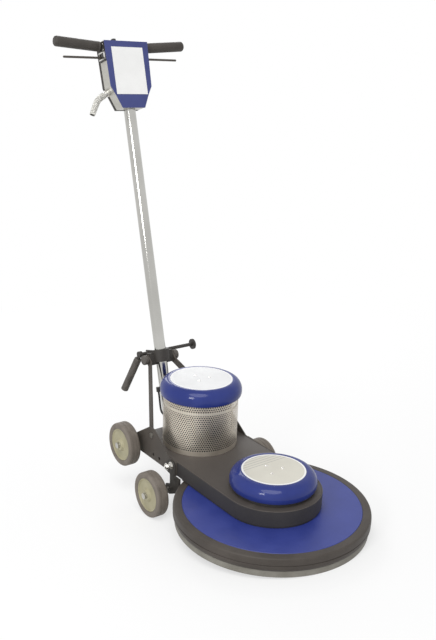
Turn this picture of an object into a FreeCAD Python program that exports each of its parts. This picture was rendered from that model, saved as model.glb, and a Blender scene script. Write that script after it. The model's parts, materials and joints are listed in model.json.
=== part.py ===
"""High speed floor burnisher: deck, belt drive, motor, wheels and a braced handle.

The pieces are drawn in the machine's own level frame: X across, Y to the rear, Z up, with the spindle
axis at X = Y = 0 and the front wheels' lowest line at Z = 0. One placement, the stance, then sets the
machine nose down on its skirt lip and front wheels, as it stands when parked with no pad fitted.
"""
import FreeCAD, Part
import math
import os
import re
import Sketcher

V = FreeCAD.Vector
Turn = FreeCAD.Rotation
Place = FreeCAD.Placement

SIZES = {
    # running and seating clearances
    "seat_gap": 0.3, "run_gap": 0.05,
    # deck pan, bumper ring and skirt lip
    "deck_r": 259, "deck_top": 121, "deck_sheet": 4, "skirt_low": 64, "ring_wide": 26, "ring_round": 8,
    "ring_groove_z": 97, "ring_groove": 2.5, "lip_wide": 20.5, "lip_low": 62, "lip_high": 82,
    "lip_round": 3,
    # pad driver and spindle
    "driver_gap": 12, "driver_low": 84, "driver_thick": 12, "face_thick": 4, "face_inset": 7, "pilot_r": 25,
    "spindle_r": 12.5, "hub_flange_r": 34, "hub_flange": 8,
    "housing_r": 44, "housing_low": 105, "housing_high": 138, "housing_flange_r": 72,
    "bearing_r": 26, "bearing_width": 12, "pulley_low": 142, "pulley_width": 18, "driven_r": 78,
    "motor_pulley_r": 34, "belt_thick": 4,
    # belt guard and chassis
    "guard_half": 146, "nose_y": 5, "guard_top": 172.5, "guard_low": 127.7, "guard_sheet": 3, "tail_y": 503,
    "chassis_rear": 250, "tray_spare": 10, "neck_r": 113, "neck_wall": 6, "neck_rise": 15,
    # driver cap and its disc
    "cap_r": 126, "cap_low": 183.5, "cap_shoulder": 197, "cap_top": 228.5, "cap_sheet": 3,
    "disc_r": 92.5, "disc_thick": 1.5, "disc_screw_ring": 27, "disc_screw_r": 4.5,
    # motor
    "motor_y": 362.5, "cover_r": 118, "cover_sheet": 1.5, "cover_high": 350, "mcap_r": 128.5, "mcap_low": 337,
    "mcap_shoulder": 352, "mcap_top": 385, "mdisc_r": 97.5, "motor_r": 98, "stator_low": 205,
    "stator_high": 292, "stator_bore": 58, "bell_thick": 14, "shaft_r": 11, "rotor_r": 57.2,
    "fan_r": 88, "fan_width": 16,
    # side plates, brackets and tail
    "side_sheet": 3, "side_front": 272, "side_rear": 530, "gusset_front": 311, "gusset_rear": 517,
    "gusset_peak_front": 400, "gusset_peak_rear": 424, "gusset_peak_z": 232.5, "sight_hole_r": 5.5,
    "sight_y_one": 402, "sight_y_two": 367, "sight_z": 145, "bracket_sheet": 5, "bracket_front": 247,
    "bracket_waist": 299, "bracket_rear": 329, "bracket_low": 56, "bracket_high": 170,
    "bolt_r": 4, "bolt_head_r": 8,
    "bolt_head": 5, "washer_r": 12, "washer": 1.5, "bolt_y_one": 315, "bolt_z_one": 142, "bolt_y_two": 292,
    "bolt_z_two": 156,
    # wheels
    "wheel_r": 70, "wheel_w": 40, "hub_r": 52, "wheel_round": 7, "axle_r": 6.35, "front_wheel_y": 309.5,
    "front_wheel_x": 233, "rear_wheel_y": 512, "rear_wheel_z": 148.5, "rear_wheel_x": 208, "nut_r": 9.5,
    "nut_high": 7,
    # handle foot and tube
    "pivot_y": 530.7, "pivot_z": 140, "pivot_pin_r": 6, "lean": 14.8, "foot_eye_r": 14, "foot_half": 21,
    "ear_sheet": 6, "tube_r": 19.05, "tube_wall": 2, "tube_low": 22, "tube_in_head": 124,
    # brace, collar and clamp
    "brace_y": 412, "brace_z": 207, "brace_pin_r": 5, "bar_width": 25, "bar_sheet": 5, "bar_end": 14,
    "collar_up": 250, "collar_back": 7, "collar_half": 20, "collar_wall": 4.5, "pad_thick": 5,
    "block_out": 44, "block_half_depth": 12, "boss_r": 16, "boss_out": 66, "rod_up": 268, "rod_back": 33,
    "rod_r": 6, "rod_far": 150, "rod_near": 66, "rod_disc_r": 18, "rod_disc": 6, "lever_eye_r": 11,
    "lever_eye": 12, "lever_reach": 142, "lever_down": 33.4, "lever_splay": 15, "lever_stem_r": 6.5,
    "clamp_grip_r": 12.5, "clamp_grip_long": 130,
    # handle head
    "head_low": 1066, "head_rise_one": 41, "head_rise_two": 68, "head_rise": 209, "head_half_low": 41,
    "head_half_one": 60, "head_half_two": 75, "head_half_top": 79, "head_wall": 2.5, "head_front_y": 28,
    "head_back_y": 21, "front_sheet": 3, "back_sheet": 3, "plate_half": 57, "plate_low": 42,
    "plate_high": 190, "plate_thick": 1, "bar_r": 9.5, "bar_drop": 16, "bar_straight": 40, "bar_rise": 4.5,
    "grip_r": 16,
    "grip_start": 82, "grip_long": 154, "switch_lever_r": 3.5, "switch_lever_drop": 46, "switch_lever_y": 6,
    "switch_lever_tip": 206, "switch_lever_pin_x": 52, "switch_eye_r": 8, "switch_eye_width": 10,
    "switch_pin_r": 3, "button_x": -38, "button_y": -18.6, "button_r": 8, "button_up": 8, "button_travel": 4,
    "gland_y": 4, "gland_r": 9, "gland_bore_r": 5.5, "gland_long": 20, "mesh_r": 10.5, "mesh_wall": 2,
    "mesh_straight": 12, "mesh_bend_r": 55, "mesh_bend": 32, "mesh_tail": 38,
    # motor lead, its relief on the tube and its grommet in the guard
    "lead_r": 3.2, "relief_up": 138, "relief_r": 7, "relief_long": 16, "grommet_x": -30, "grommet_y": 492,
    "grommet_r": 7, "grommet_high": 4, "lead_drop": 22, "lead_mid_x": -31, "lead_mid_y": 548,
    "lead_mid_z": 230, "lead_low_x": -37, "lead_low_y": 531, "lead_low_z": 214, "lead_run_y": 510,
    "lead_run_z": 212,
}

doc = FreeCAD.newDocument("Burnisher")
sheet = doc.addObject("Spreadsheet::Sheet", "sizes")
for row, (alias, amount) in enumerate(SIZES.items(), start=1):
    sheet.set(f"A{row}", alias)
    sheet.set(f"B{row}", str(amount))
    sheet.setAlias(f"B{row}", alias)
doc.recompute()


def on_sheet(text):
    """Turn the size names in an expression into references to the sheet."""
    return re.sub(r"[a-z_]+", lambda word: "sizes." + word[0] if word[0] in SIZES else word[0], str(text))


def size(text):
    """The present value of an expression of sizes, in millimetres or degrees."""
    return float(sheet.evalExpression(on_sheet(text)))


def bind(thing, **properties):
    for name, text in properties.items():
        thing.setExpression(name.replace("__", "."), on_sheet(text))


def locate(thing, at):
    for axis, text in zip("xyz", at):
        thing.setExpression("Placement.Base." + axis, on_sheet(text))


AXIS_TURN = {"Z": Turn(), "X": Turn(V(0, 1, 0), 90), "Y": Turn(V(1, 0, 0), -90)}


def drum(name, radius, height, at=("0", "0", "0"), axis="Z"):
    """A cylinder from the point at, along +axis."""
    thing = doc.addObject("Part::Cylinder", name)
    bind(thing, Radius=radius, Height=height)
    thing.Placement = Place(V(), AXIS_TURN[axis])
    locate(thing, at)
    return thing


def block(name, long, wide, high, at):
    """A box from its lowest corner at."""
    thing = doc.addObject("Part::Box", name)
    bind(thing, Length=long, Width=wide, Height=high)
    locate(thing, at)
    return thing


def ball(name, radius, at):
    thing = doc.addObject("Part::Sphere", name)
    bind(thing, Radius=radius)
    locate(thing, at)
    return thing


def joined(name, pieces):
    thing = doc.addObject("Part::MultiFuse", name)
    thing.Shapes = pieces
    thing.Refine = True
    return thing


def cut(name, base, tools):
    thing = doc.addObject("Part::Cut", name)
    thing.Base = base
    thing.Tool = tools[0] if len(tools) == 1 else joined(name + "_tools", tools)
    thing.Refine = True
    return thing


def group(name, pieces):
    """Separate solids kept side by side in one sub-part."""
    thing = doc.addObject("Part::Compound", name)
    thing.Links = pieces
    return thing


def draw(sketch, corners):
    """Draw one closed loop and tie every corner to the sheet.

    A corner is (x, y). With two more entries, a radius and +1 or -1, it is reached from the corner
    before by an arc of that radius that turns left or right.
    """
    spots = [V(size(c[0]), size(c[1]), 0) for c in corners]
    first = sketch.GeometryCount
    ends = []
    for index, corner in enumerate(corners):
        start, end = spots[index - 1], spots[index]
        if len(corner) == 2:
            sketch.addGeometry(Part.LineSegment(start, end), False)
            ends.append((1, 2))
            continue
        radius, side = size(corner[2]), corner[3]
        chord = end - start
        reach = math.sqrt(max(radius ** 2 - chord.Length ** 2 / 4, 0))
        centre = (start + end) * 0.5 + V(-chord.y, chord.x, 0).normalize() * reach * side
        low, high = (start, end) if side > 0 else (end, start)
        angles = [math.atan2(p.y - centre.y, p.x - centre.x) for p in (low, high)]
        if angles[1] < angles[0]:
            angles[1] += 2 * math.pi
        circle = Part.Circle(centre, V(0, 0, 1), radius)
        sketch.addGeometry(Part.ArcOfCircle(circle, angles[0], angles[1]), False)
        ends.append((1, 2) if side > 0 else (2, 1))
    count = len(corners)
    for index in range(count):
        after = (index + 1) % count
        sketch.addConstraint(Sketcher.Constraint(
            "Coincident", first + index, ends[index][1], first + after, ends[after][0]))
    for index, corner in enumerate(corners):
        edge = first + index
        for kind, text in (("DistanceX", corner[0]), ("DistanceY", corner[1])):
            rule = Sketcher.Constraint(kind, -1, 1, edge, ends[index][1], size(text))
            sketch.renameConstraint(sketch.addConstraint(rule), f"{kind}{edge}")
            sketch.setExpression(f"Constraints.{kind}{edge}", on_sheet(text))
        if len(corner) == 4:
            rule = Sketcher.Constraint("Radius", edge, size(corner[2]))
            sketch.renameConstraint(sketch.addConstraint(rule), f"Arc{edge}")
            sketch.setExpression(f"Constraints.Arc{edge}", on_sheet(corner[2]))


def bore(sketch, across, along, radius):
    """Draw one round hole and tie it to the sheet."""
    edge = sketch.GeometryCount
    sketch.addGeometry(Part.Circle(V(size(across), size(along), 0), V(0, 0, 1), size(radius)), False)
    rules = (("DistanceX", (-1, 1, edge, 3), across), ("DistanceY", (-1, 1, edge, 3), along),
             ("Radius", (edge,), radius))
    for kind, points, text in rules:
        rule = Sketcher.Constraint(kind, *points, size(text))
        sketch.renameConstraint(sketch.addConstraint(rule), f"{kind}{edge}")
        sketch.setExpression(f"Constraints.{kind}{edge}", on_sheet(text))


def new_sketch(body, plane):
    sketch = body.newObject("Sketcher::SketchObject", body.Name + "_outline")
    origin_plane = [f for f in body.Origin.OriginFeatures if f.Role == plane + "_Plane"][0]
    sketch.AttachmentSupport = [(origin_plane, "")]
    sketch.MapMode = "FlatFace"
    return sketch


def turned(name, corners):
    """A body turned about its own Z axis from an outline of (radius, height) corners."""
    body = doc.addObject("PartDesign::Body", name)
    sketch = new_sketch(body, "XZ")
    draw(sketch, corners)
    spin = body.newObject("PartDesign::Revolution", name + "_turn")
    spin.Profile = sketch
    spin.ReferenceAxis = (sketch, ["V_Axis"])
    spin.Angle = 360
    return body


def plate(name, loops, thick, plane, holes=()):
    """A body padded from outlines: YZ pads towards +X, XZ towards -Y, XY towards +Z."""
    body = doc.addObject("PartDesign::Body", name)
    sketch = new_sketch(body, plane)
    for corners in loops:
        draw(sketch, corners)
    for across, along, radius in holes:
        bore(sketch, across, along, radius)
    pad = body.newObject("PartDesign::Pad", name + "_pad")
    pad.Profile = sketch
    bind(pad, Length=thick)
    return body


# ---- the stance and the frames that lean with the handle and the brace ----
wheel_centre = V(0, size("front_wheel_y"), size("wheel_r"))
lip_centre = V(0, -size("deck_r + lip_wide - lip_round"), size("lip_low + lip_round"))
wheelbase = wheel_centre - lip_centre
nose_down = math.degrees(math.asin(size("wheel_r - lip_round") / wheelbase.Length)
                         - math.atan2(wheelbase.z, wheelbase.y))
tilt = Place(V(), Turn(V(1, 0, 0), nose_down))
floor_z = tilt.multVec(wheel_centre).z - size("wheel_r")

# the nodes' shapes are drawn level; the stance also centres the machine over its origin
level_parts = {}


def node(label, thing, frame=None):
    """Name a finished sub-part and note the frame that it is drawn in."""
    thing.Label = label
    level_parts[label] = (thing, frame or Place())


def at_level(x, y, z, turn=None):
    return Place(V(size(x), size(y), size(z)), turn or Turn())


HANDLE = at_level("0", "pivot_y", "pivot_z", Turn(V(1, 0, 0), -size("lean")))
collar_point = HANDLE.multVec(V(0, size("collar_back"), size("collar_up")))
brace_root = V(0, size("brace_y"), size("brace_z"))
brace_line = collar_point - brace_root
brace_lean = math.degrees(math.atan2(brace_line.y, brace_line.z))
BRACE = Place(brace_root, Turn(V(1, 0, 0), -brace_lean))
SIDES = {"right": -1, "left": 1}


# ---- deck: pan, bumper ring and skirt lip ----
node("deck_pan", turned("deck_pan", [
    ("housing_r + seat_gap", "deck_top - deck_sheet"), ("deck_r - deck_sheet", "deck_top - deck_sheet"),
    ("deck_r - deck_sheet", "skirt_low"), ("deck_r", "skirt_low"), ("deck_r", "deck_top"),
    ("housing_r + seat_gap", "deck_top")]))
node("bumper_ring", turned("bumper_ring", [
    ("deck_r + seat_gap", "lip_high + seat_gap"), ("deck_r + ring_wide - 3", "lip_high + seat_gap"),
    ("deck_r + ring_wide", "lip_high + ring_round"),
    ("deck_r + ring_wide", "ring_groove_z - ring_groove"),
    ("deck_r + ring_wide - ring_groove", "ring_groove_z"),
    ("deck_r + ring_wide", "ring_groove_z + ring_groove"),
    ("deck_r + ring_wide", "deck_top - ring_round"),
    ("deck_r + ring_wide - ring_round", "deck_top", "ring_round", 1), ("deck_r + seat_gap", "deck_top")]))
node("skirt_lip", turned("skirt_lip", [
    ("deck_r + seat_gap", "lip_low"), ("deck_r + lip_wide - lip_round", "lip_low"),
    ("deck_r + lip_wide", "lip_low + lip_round", "lip_round", 1),
    ("deck_r + lip_wide", "lip_high - lip_round"),
    ("deck_r + lip_wide - lip_round", "lip_high"), ("deck_r + seat_gap", "lip_high")]))

# ---- spindle: housing, bearings, shaft, pulley and pad driver ----
node("spindle_housing", turned("spindle_housing", [
    ("bearing_r + run_gap", "housing_low"), ("housing_r", "housing_low"),
    ("housing_r", "deck_top - deck_sheet - seat_gap - 5"),
    ("housing_flange_r", "deck_top - deck_sheet - seat_gap - 5"),
    ("housing_flange_r", "deck_top - deck_sheet - seat_gap"),
    ("housing_r", "deck_top - deck_sheet - seat_gap"), ("housing_r", "housing_high"),
    ("bearing_r + run_gap", "housing_high")]))


def bearing(name, low):
    outer = drum(name + "_race", "bearing_r", "bearing_width", ("0", "0", low))
    inner = drum(name + "_bore", "spindle_r + run_gap", "bearing_width", ("0", "0", low))
    return cut(name, outer, [inner])


node("spindle_bearings", group("spindle_bearings", [
    bearing("lower_bearing", "housing_low"), bearing("upper_bearing", "housing_high - bearing_width")]))
node("spindle", turned("spindle", [
    ("0", "driver_low + driver_thick"), ("hub_flange_r", "driver_low + driver_thick"),
    ("hub_flange_r", "driver_low + driver_thick + hub_flange"),
    ("spindle_r", "driver_low + driver_thick + hub_flange"),
    ("spindle_r", "pulley_low + pulley_width + 4"), ("0", "pulley_low + pulley_width + 4")]))
node("driven_pulley", turned("driven_pulley", [
    ("spindle_r + run_gap", "pulley_low"), ("driven_r", "pulley_low"),
    ("driven_r", "pulley_low + pulley_width"), ("driven_r - 8", "pulley_low + pulley_width"),
    ("driven_r - 8", "pulley_low + 6"), ("spindle_r + 14", "pulley_low + 6"),
    ("spindle_r + 14", "pulley_low + pulley_width"), ("spindle_r + run_gap", "pulley_low + pulley_width")]))
driver_r = "deck_r - deck_sheet - driver_gap"
node("pad_driver", turned("pad_driver", [
    ("pilot_r", "driver_low"), (driver_r, "driver_low"), (driver_r, "driver_low + driver_thick - 4"),
    ("hub_flange_r + 30", "driver_low + driver_thick"), ("0", "driver_low + driver_thick"),
    ("0", "driver_low + driver_thick - 4"), ("pilot_r", "driver_low + driver_thick - 4")]))
node("driver_grip_face", turned("driver_grip_face", [
    ("pilot_r + 20", "driver_low - face_thick"), (f"{driver_r} - face_inset", "driver_low - face_thick"),
    (f"{driver_r} - face_inset", "driver_low"), ("pilot_r + 20", "driver_low")]))

# ---- belt drive: motor pulley and belt ----
node("motor_pulley", turned("motor_pulley", [
    ("shaft_r + run_gap", "pulley_low"), ("motor_pulley_r", "pulley_low"),
    ("motor_pulley_r", "pulley_low + pulley_width"), ("shaft_r + run_gap", "pulley_low + pulley_width")]),
    at_level("0", "motor_y", "0"))


def belt_loop(grow):
    """The closed line round both pulleys, grown outwards."""
    near, far, span = size("driven_r") + grow, size("motor_pulley_r") + grow, size("motor_y")
    slope = math.asin((near - far) / span)
    side, rise = math.cos(slope), math.sin(slope)
    low = size("pulley_low + 2")
    spots = [V(side * near, rise * near, low), V(side * far, span + rise * far, low),
             V(-side * far, span + rise * far, low), V(-side * near, rise * near, low)]
    edges = [Part.LineSegment(spots[0], spots[1]), Part.Arc(spots[1], V(0, span + far, low), spots[2]),
             Part.LineSegment(spots[2], spots[3]), Part.Arc(spots[3], V(0, -near, low), spots[0])]
    return Part.Face(Part.Wire([edge.toShape() for edge in edges]))


belt = doc.addObject("Part::Feature", "drive_belt")
belt.Shape = belt_loop(size("seat_gap + belt_thick")).cut(belt_loop(size("seat_gap"))).extrude(
    V(0, 0, size("pulley_width - 4")))
node("drive_belt", belt)

# ---- chassis plate and belt guard ----


def long_nose(name, half, low, high, rear):
    """A flat shape with a round nose at the front and parallel sides, from low to high."""
    nose = drum(name + "_nose", half, f"{high} - ({low})", ("0", "nose_y", low))
    body = block(name + "_body", f"2 * ({half})", f"{rear} - nose_y", f"{high} - ({low})",
                 (f"-({half})", "nose_y", low))
    return joined(name, [nose, body])


chassis_half = "guard_half - guard_sheet - seat_gap"
chassis_blank = joined("chassis_blank", [
    long_nose("chassis_front", chassis_half, "deck_top + seat_gap", "guard_low + guard_sheet",
              "chassis_rear"),
    block("chassis_tray", f"2 * ({chassis_half})", "motor_y + tray_spare - nose_y",
          "guard_sheet", (f"-({chassis_half})", "nose_y", "guard_low"))])
node("chassis_plate", cut("chassis_plate", chassis_blank, [
    drum("chassis_hole", "housing_r + seat_gap", "30", ("0", "0", "deck_top - 10"))]))

guard_tools = [
    long_nose("guard_inside", "guard_half - guard_sheet", "guard_low - 5", "guard_top - guard_sheet",
              "tail_y - guard_sheet"),
    drum("guard_neck_hole", "neck_r - neck_wall", "40", ("0", "0", "guard_top - 20")),
    drum("guard_motor_hole", "motor_pulley_r + 12", "40", ("0", "motor_y", "guard_top - 20")),
]
for number, spot in enumerate(("sight_y_one", "sight_y_two"), start=1):
    guard_tools.append(drum(f"guard_sight_{number}", "sight_hole_r", "2 * guard_half + 20",
                            ("-guard_half - 10", spot, "sight_z"), "X"))
for name, along, up in (("one", "bolt_y_one", "bolt_z_one"), ("two", "bolt_y_two", "bolt_z_two")):
    guard_tools.append(drum("guard_bolt_" + name, "bolt_r + seat_gap", "2 * guard_half + 20",
                            ("-guard_half - 10", along, up), "X"))
guard_shell = joined("guard_shell", [
    long_nose("guard_blank", "guard_half", "guard_low", "guard_top", "tail_y"),
    drum("guard_neck", "neck_r", "neck_rise", ("0", "0", "guard_top")),
    drum("guard_grommet", "grommet_r", "grommet_high", ("grommet_x", "grommet_y", "guard_top"))])
node("belt_guard", cut("belt_guard", guard_shell, guard_tools))

# ---- front cap over the driven pulley ----


def round_cap(name, radius, low, shoulder, top, disc, neck):
    """A pressed cap: turned-in lower edge round a neck, rounded shoulder and a flat recess for its disc."""
    sheet_name = "cap_sheet"
    flat = f"{disc} + 3"
    inner_r, inner_top = f"{radius} - {sheet_name}", f"{top} - disc_thick - {sheet_name}"
    inner_flat = f"{flat} - {sheet_name}"
    inner_swing = (f"(({inner_r} - ({inner_flat})) ^ 2 + ({inner_top} - {shoulder}) ^ 2)"
                   f" / (2 * ({inner_r} - ({inner_flat})))")
    outer_swing = f"(({radius} - ({flat})) ^ 2 + ({top} - {shoulder}) ^ 2) / (2 * ({radius} - ({flat})))"
    return turned(name, [
        ("0", inner_top), (inner_flat, inner_top), (inner_r, shoulder, inner_swing, -1),
        (inner_r, f"{low} + {sheet_name}"), (f"{neck} + seat_gap", f"{low} + {sheet_name}"),
        (f"{neck} + seat_gap", low), (radius, low), (radius, shoulder), (flat, top, outer_swing, 1),
        (f"{disc} + seat_gap", top), (f"{disc} + seat_gap", f"{top} - disc_thick"),
        ("0", f"{top} - disc_thick")])


def disc_drums(name, radius, along, low, high):
    """Three short cylinders on a disc's screw circle."""
    return [drum(f"{name}_{k}", radius, high, (
        f"disc_screw_ring * cos({120 * k + 100})", f"{along} + disc_screw_ring * sin({120 * k + 100})", low))
        for k in range(3)]


def cap_disc(name, radius, along, top):
    low = f"{top} - disc_thick + run_gap"
    return cut(name, drum(name + "_blank", radius, "disc_thick - run_gap", ("0", along, low)),
               disc_drums(name + "_hole", "disc_screw_r", along, f"{top} - 5", "10"))


def cap_screws(name, along, top):
    """Three low round heads that hold a disc, standing in its holes."""
    return disc_drums(name, "disc_screw_r - run_gap", along, f"{top} - disc_thick + run_gap",
                      "disc_thick + 1")


node("driver_cap", round_cap("driver_cap", "cap_r", "cap_low", "cap_shoulder", "cap_top", "disc_r",
                             "neck_r"))

# ---- motor ----
MOTOR = at_level("0", "motor_y", "0")
node("motor_cover", turned("motor_cover", [
    ("cover_r - cover_sheet", "guard_top + seat_gap"), ("cover_r", "guard_top + seat_gap"),
    ("cover_r", "cover_high"), ("cover_r - cover_sheet", "cover_high")]), MOTOR)
node("motor_cap", round_cap("motor_cap", "mcap_r", "mcap_low", "mcap_shoulder", "mcap_top", "mdisc_r",
                            "cover_r"), MOTOR)
node("cap_discs", group("cap_discs", [cap_disc("driver_disc", "disc_r", "0", "cap_top"),
                                      cap_disc("motor_disc", "mdisc_r", "motor_y", "mcap_top")]))
node("disc_screws", group("disc_screws", cap_screws("driver_screw", "0", "cap_top")
                          + cap_screws("motor_screw", "motor_y", "mcap_top")))
node("motor_stator", turned("motor_stator", [
    ("stator_bore", "stator_low"), ("motor_r", "stator_low"), ("motor_r", "stator_high"),
    ("stator_bore", "stator_high")]), MOTOR)


def end_bell(name, low):
    return cut(name, drum(name + "_disc", "motor_r", "bell_thick", ("0", "motor_y", low)),
               [drum(name + "_bore", "shaft_r + run_gap", "bell_thick", ("0", "motor_y", low))])


lower_bell = joined("lower_bell", [
    end_bell("lower_bell_disc", "stator_low - bell_thick"),
    cut("bell_stand", drum("bell_stand_blank", "motor_r", "stator_low - bell_thick - guard_top - seat_gap",
                           ("0", "motor_y", "guard_top + seat_gap")),
        [drum("bell_stand_bore", "motor_r - 10", "60", ("0", "motor_y", "guard_top - 10"))])])
node("motor_end_bells", group("motor_end_bells", [lower_bell, end_bell("upper_bell", "stator_high")]))
node("motor_rotor", turned("motor_rotor", [
    ("0", "pulley_low - 2"), ("shaft_r", "pulley_low - 2"), ("shaft_r", "stator_low + 4"),
    ("rotor_r", "stator_low + 4"), ("rotor_r", "stator_high - 4"), ("shaft_r", "stator_high - 4"),
    ("shaft_r", "stator_high + bell_thick + fan_width + 8"),
    ("0", "stator_high + bell_thick + fan_width + 8")]), MOTOR)


def fan():
    """A hub and back plate with straight radial vanes."""
    low = "stator_high + bell_thick + 4"
    pieces = [drum("fan_plate", "fan_r", "2.5", ("0", "0", low)),
              drum("fan_hub", "shaft_r + 9", "fan_width", ("0", "0", low))]
    for k in range(8):
        vane = block(f"fan_vane_{k}", "fan_r - shaft_r - 9", "2.5", "fan_width", ("0", "0", low))
        spin = Turn(V(0, 0, 1), 45 * k)
        vane.Placement = Place(V(), spin)
        reach = spin.multVec(V(1, 0, 0))
        locate(vane, (f"(shaft_r + 7) * {reach.x:.6f}", f"(shaft_r + 7) * {reach.y:.6f}", low))
        pieces.append(vane)
    return cut("cooling_fan", joined("fan_blank", pieces), [
        drum("fan_bore", "shaft_r + run_gap", "fan_width + 10", ("0", "0", low + " - 5"))])


node("cooling_fan", fan(), MOTOR)

# ---- tail: side plates, wheel brackets, cross member ----
bolt_holes = [("bolt_y_one", "bolt_z_one", "bolt_r + seat_gap"),
              ("bolt_y_two", "bolt_z_two", "bolt_r + seat_gap")]
side_holes = [("sight_y_one", "sight_z", "sight_hole_r"), ("sight_y_two", "sight_z", "sight_hole_r"),
              ("brace_y", "brace_z", "brace_pin_r + run_gap"),
              ("rear_wheel_y", "rear_wheel_z", "axle_r + run_gap")] + bolt_holes
side_outline = [
    ("side_front", "guard_low"), ("side_rear", "guard_low"), ("side_rear", "guard_top"),
    ("gusset_rear", "guard_top"), ("gusset_peak_rear", "gusset_peak_z"),
    ("gusset_peak_front", "gusset_peak_z"), ("gusset_front", "guard_top"), ("side_front", "guard_top")]
bracket_outline = [
    ("bracket_front", "bracket_low + 26"), ("front_wheel_y - 10", "bracket_low"),
    ("front_wheel_y + 12", "bracket_low"), ("front_wheel_y + 12", "wheel_r + 13"),
    ("bracket_waist", "wheel_r + 22"), ("bracket_waist", "guard_low - 3"),
    ("bracket_rear", "guard_low + 3"), ("bracket_rear", "bolt_z_one + 8"),
    ("bolt_y_two + 14", "bracket_high"), ("side_front + 10", "bracket_high"),
    ("side_front + 2", "bracket_high - 10"), ("side_front + 2", "guard_low"), ("bracket_front", "guard_low")]
bracket_holes = [("front_wheel_y", "wheel_r", "axle_r + run_gap")] + bolt_holes


def on_both_sides(name, outline, thick, holes, inner):
    """A flat plate on each side of the machine, its inner face at the distance inner."""
    pair = []
    for side, sign in SIDES.items():
        body = plate(f"{name}_{side}", [outline], thick, "YZ", holes)
        locate(body, (inner if sign > 0 else f"-({inner}) - ({thick})", "0", "0"))
        pair.append(body)
    return group(name, pair)


node("side_plates", on_both_sides("side_plate", side_outline, "side_sheet", side_holes,
                                  "guard_half + seat_gap"))
bracket_face = "guard_half + 2 * seat_gap + side_sheet"
node("wheel_brackets", on_both_sides("wheel_bracket", bracket_outline, "bracket_sheet", bracket_holes,
                                     bracket_face))

bolts = []
for side, sign in SIDES.items():
    for name, along, up in (("one", "bolt_y_one", "bolt_z_one"), ("two", "bolt_y_two", "bolt_z_two")):
        face = f"{bracket_face} + bracket_sheet + seat_gap"
        reach = "bracket_sheet + side_sheet + guard_sheet + 8"
        pieces = []
        for part, radius, long, out in (("washer", "washer_r", "washer", face),
                                        ("head", "bolt_head_r", "bolt_head", face + " + washer"),
                                        ("shank", "bolt_r", reach, f"{face} - ({reach})")):
            start = out if sign > 0 else f"-({out}) - ({long})"
            pieces.append(drum(f"{part}_{side}_{name}", radius, long, (start, along, up), "X"))
        bolts.append(joined(f"bolt_{side}_{name}", pieces))
node("bracket_bolts", group("bracket_bolts", bolts))

tail_y = "tail_y + seat_gap"
ears = [drum(f"ear_round_{side}", "foot_eye_r + 2", "ear_sheet",
             ("foot_half + 1" if sign > 0 else "-foot_half - 1 - ear_sheet", "pivot_y", "pivot_z"), "X")
        for side, sign in SIDES.items()]
ears += [block(f"ear_web_{side}", "ear_sheet", f"pivot_y - ({tail_y})", "2 * foot_eye_r + 4",
               ("foot_half + 1" if sign > 0 else "-foot_half - 1 - ear_sheet", tail_y,
                "pivot_z - foot_eye_r - 2")) for side, sign in SIDES.items()]
ears.append(block("tail_plate", "2 * guard_half", "5", "guard_top - guard_low + 6",
                  ("-guard_half", tail_y, "guard_low - 6")))
pin_hole = drum("tail_pin_hole", "pivot_pin_r + run_gap", "120", ("-60", "pivot_y", "pivot_z"), "X")
node("tail_crossmember", cut("tail_crossmember", joined("tail_blank", ears), [pin_hole]))
handle_pin = joined("handle_pin", [
    drum("pin_shank", "pivot_pin_r", "2 * (foot_half + ear_sheet + 5)",
         ("-foot_half - ear_sheet - 5", "pivot_y", "pivot_z"), "X"),
    drum("pin_head", "pivot_pin_r + 4", "4", ("-foot_half - ear_sheet - 5.5", "pivot_y", "pivot_z"), "X")])

# ---- wheels, axles and nuts ----
wheel_places = {
    "front": ("front_wheel_y", "wheel_r", "front_wheel_x", bracket_face, "bracket_sheet"),
    "rear": ("rear_wheel_y", "rear_wheel_z", "rear_wheel_x", "guard_half + seat_gap", "side_sheet")}
axles = []
for end, (along, up, outer, seat, wall) in wheel_places.items():
    for side, sign in SIDES.items():
        facing = Turn(V(0, 1, 0), 90 * sign)
        spot = at_level(f"{outer} - wheel_w" if sign > 0 else f"wheel_w - {outer}", along, up, facing)
        node(f"tyre_{end}_{side}", turned(f"tyre_{end}_{side}", [
            ("hub_r + run_gap", "3"), ("wheel_r - wheel_round", "0"),
            ("wheel_r", "wheel_round", "wheel_round", 1), ("wheel_r", "wheel_w - wheel_round"),
            ("wheel_r - wheel_round", "wheel_w", "wheel_round", 1),
            ("hub_r + run_gap", "wheel_w - 3")]), spot)
        node(f"hub_{end}_{side}", turned(f"hub_{end}_{side}", [
            ("axle_r + run_gap", "-2"), ("20", "-2"), ("24", "7"), ("hub_r - 4", "9"), ("hub_r", "3.5"),
            ("hub_r", "wheel_w - 3.5"), ("hub_r - 4", "wheel_w - 4"), ("30", "wheel_w - 7"),
            ("20", "wheel_w - 5"), ("18", "wheel_w + 2"), ("axle_r + run_gap", "wheel_w + 2")]), spot)
        pieces = []
        for part, radius, start, stop in (
                ("shank", "axle_r", seat, f"{outer} + 3"),
                ("shoulder", "axle_r + 3", f"{seat} + {wall} + seat_gap",
                 f"{outer} - wheel_w - 2 - seat_gap"),
                ("nut", "nut_r", f"{outer} + 2 + seat_gap", f"{outer} + 2 + seat_gap + nut_high")):
            low = start if sign > 0 else f"-({stop})"
            pieces.append(drum(f"axle_{part}_{end}_{side}", radius, f"{stop} - ({start})",
                               (low, along, up), "X"))
        axles.append(joined(f"axle_{end}_{side}", pieces))
node("wheel_axles", group("wheel_axles", axles))

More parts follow.
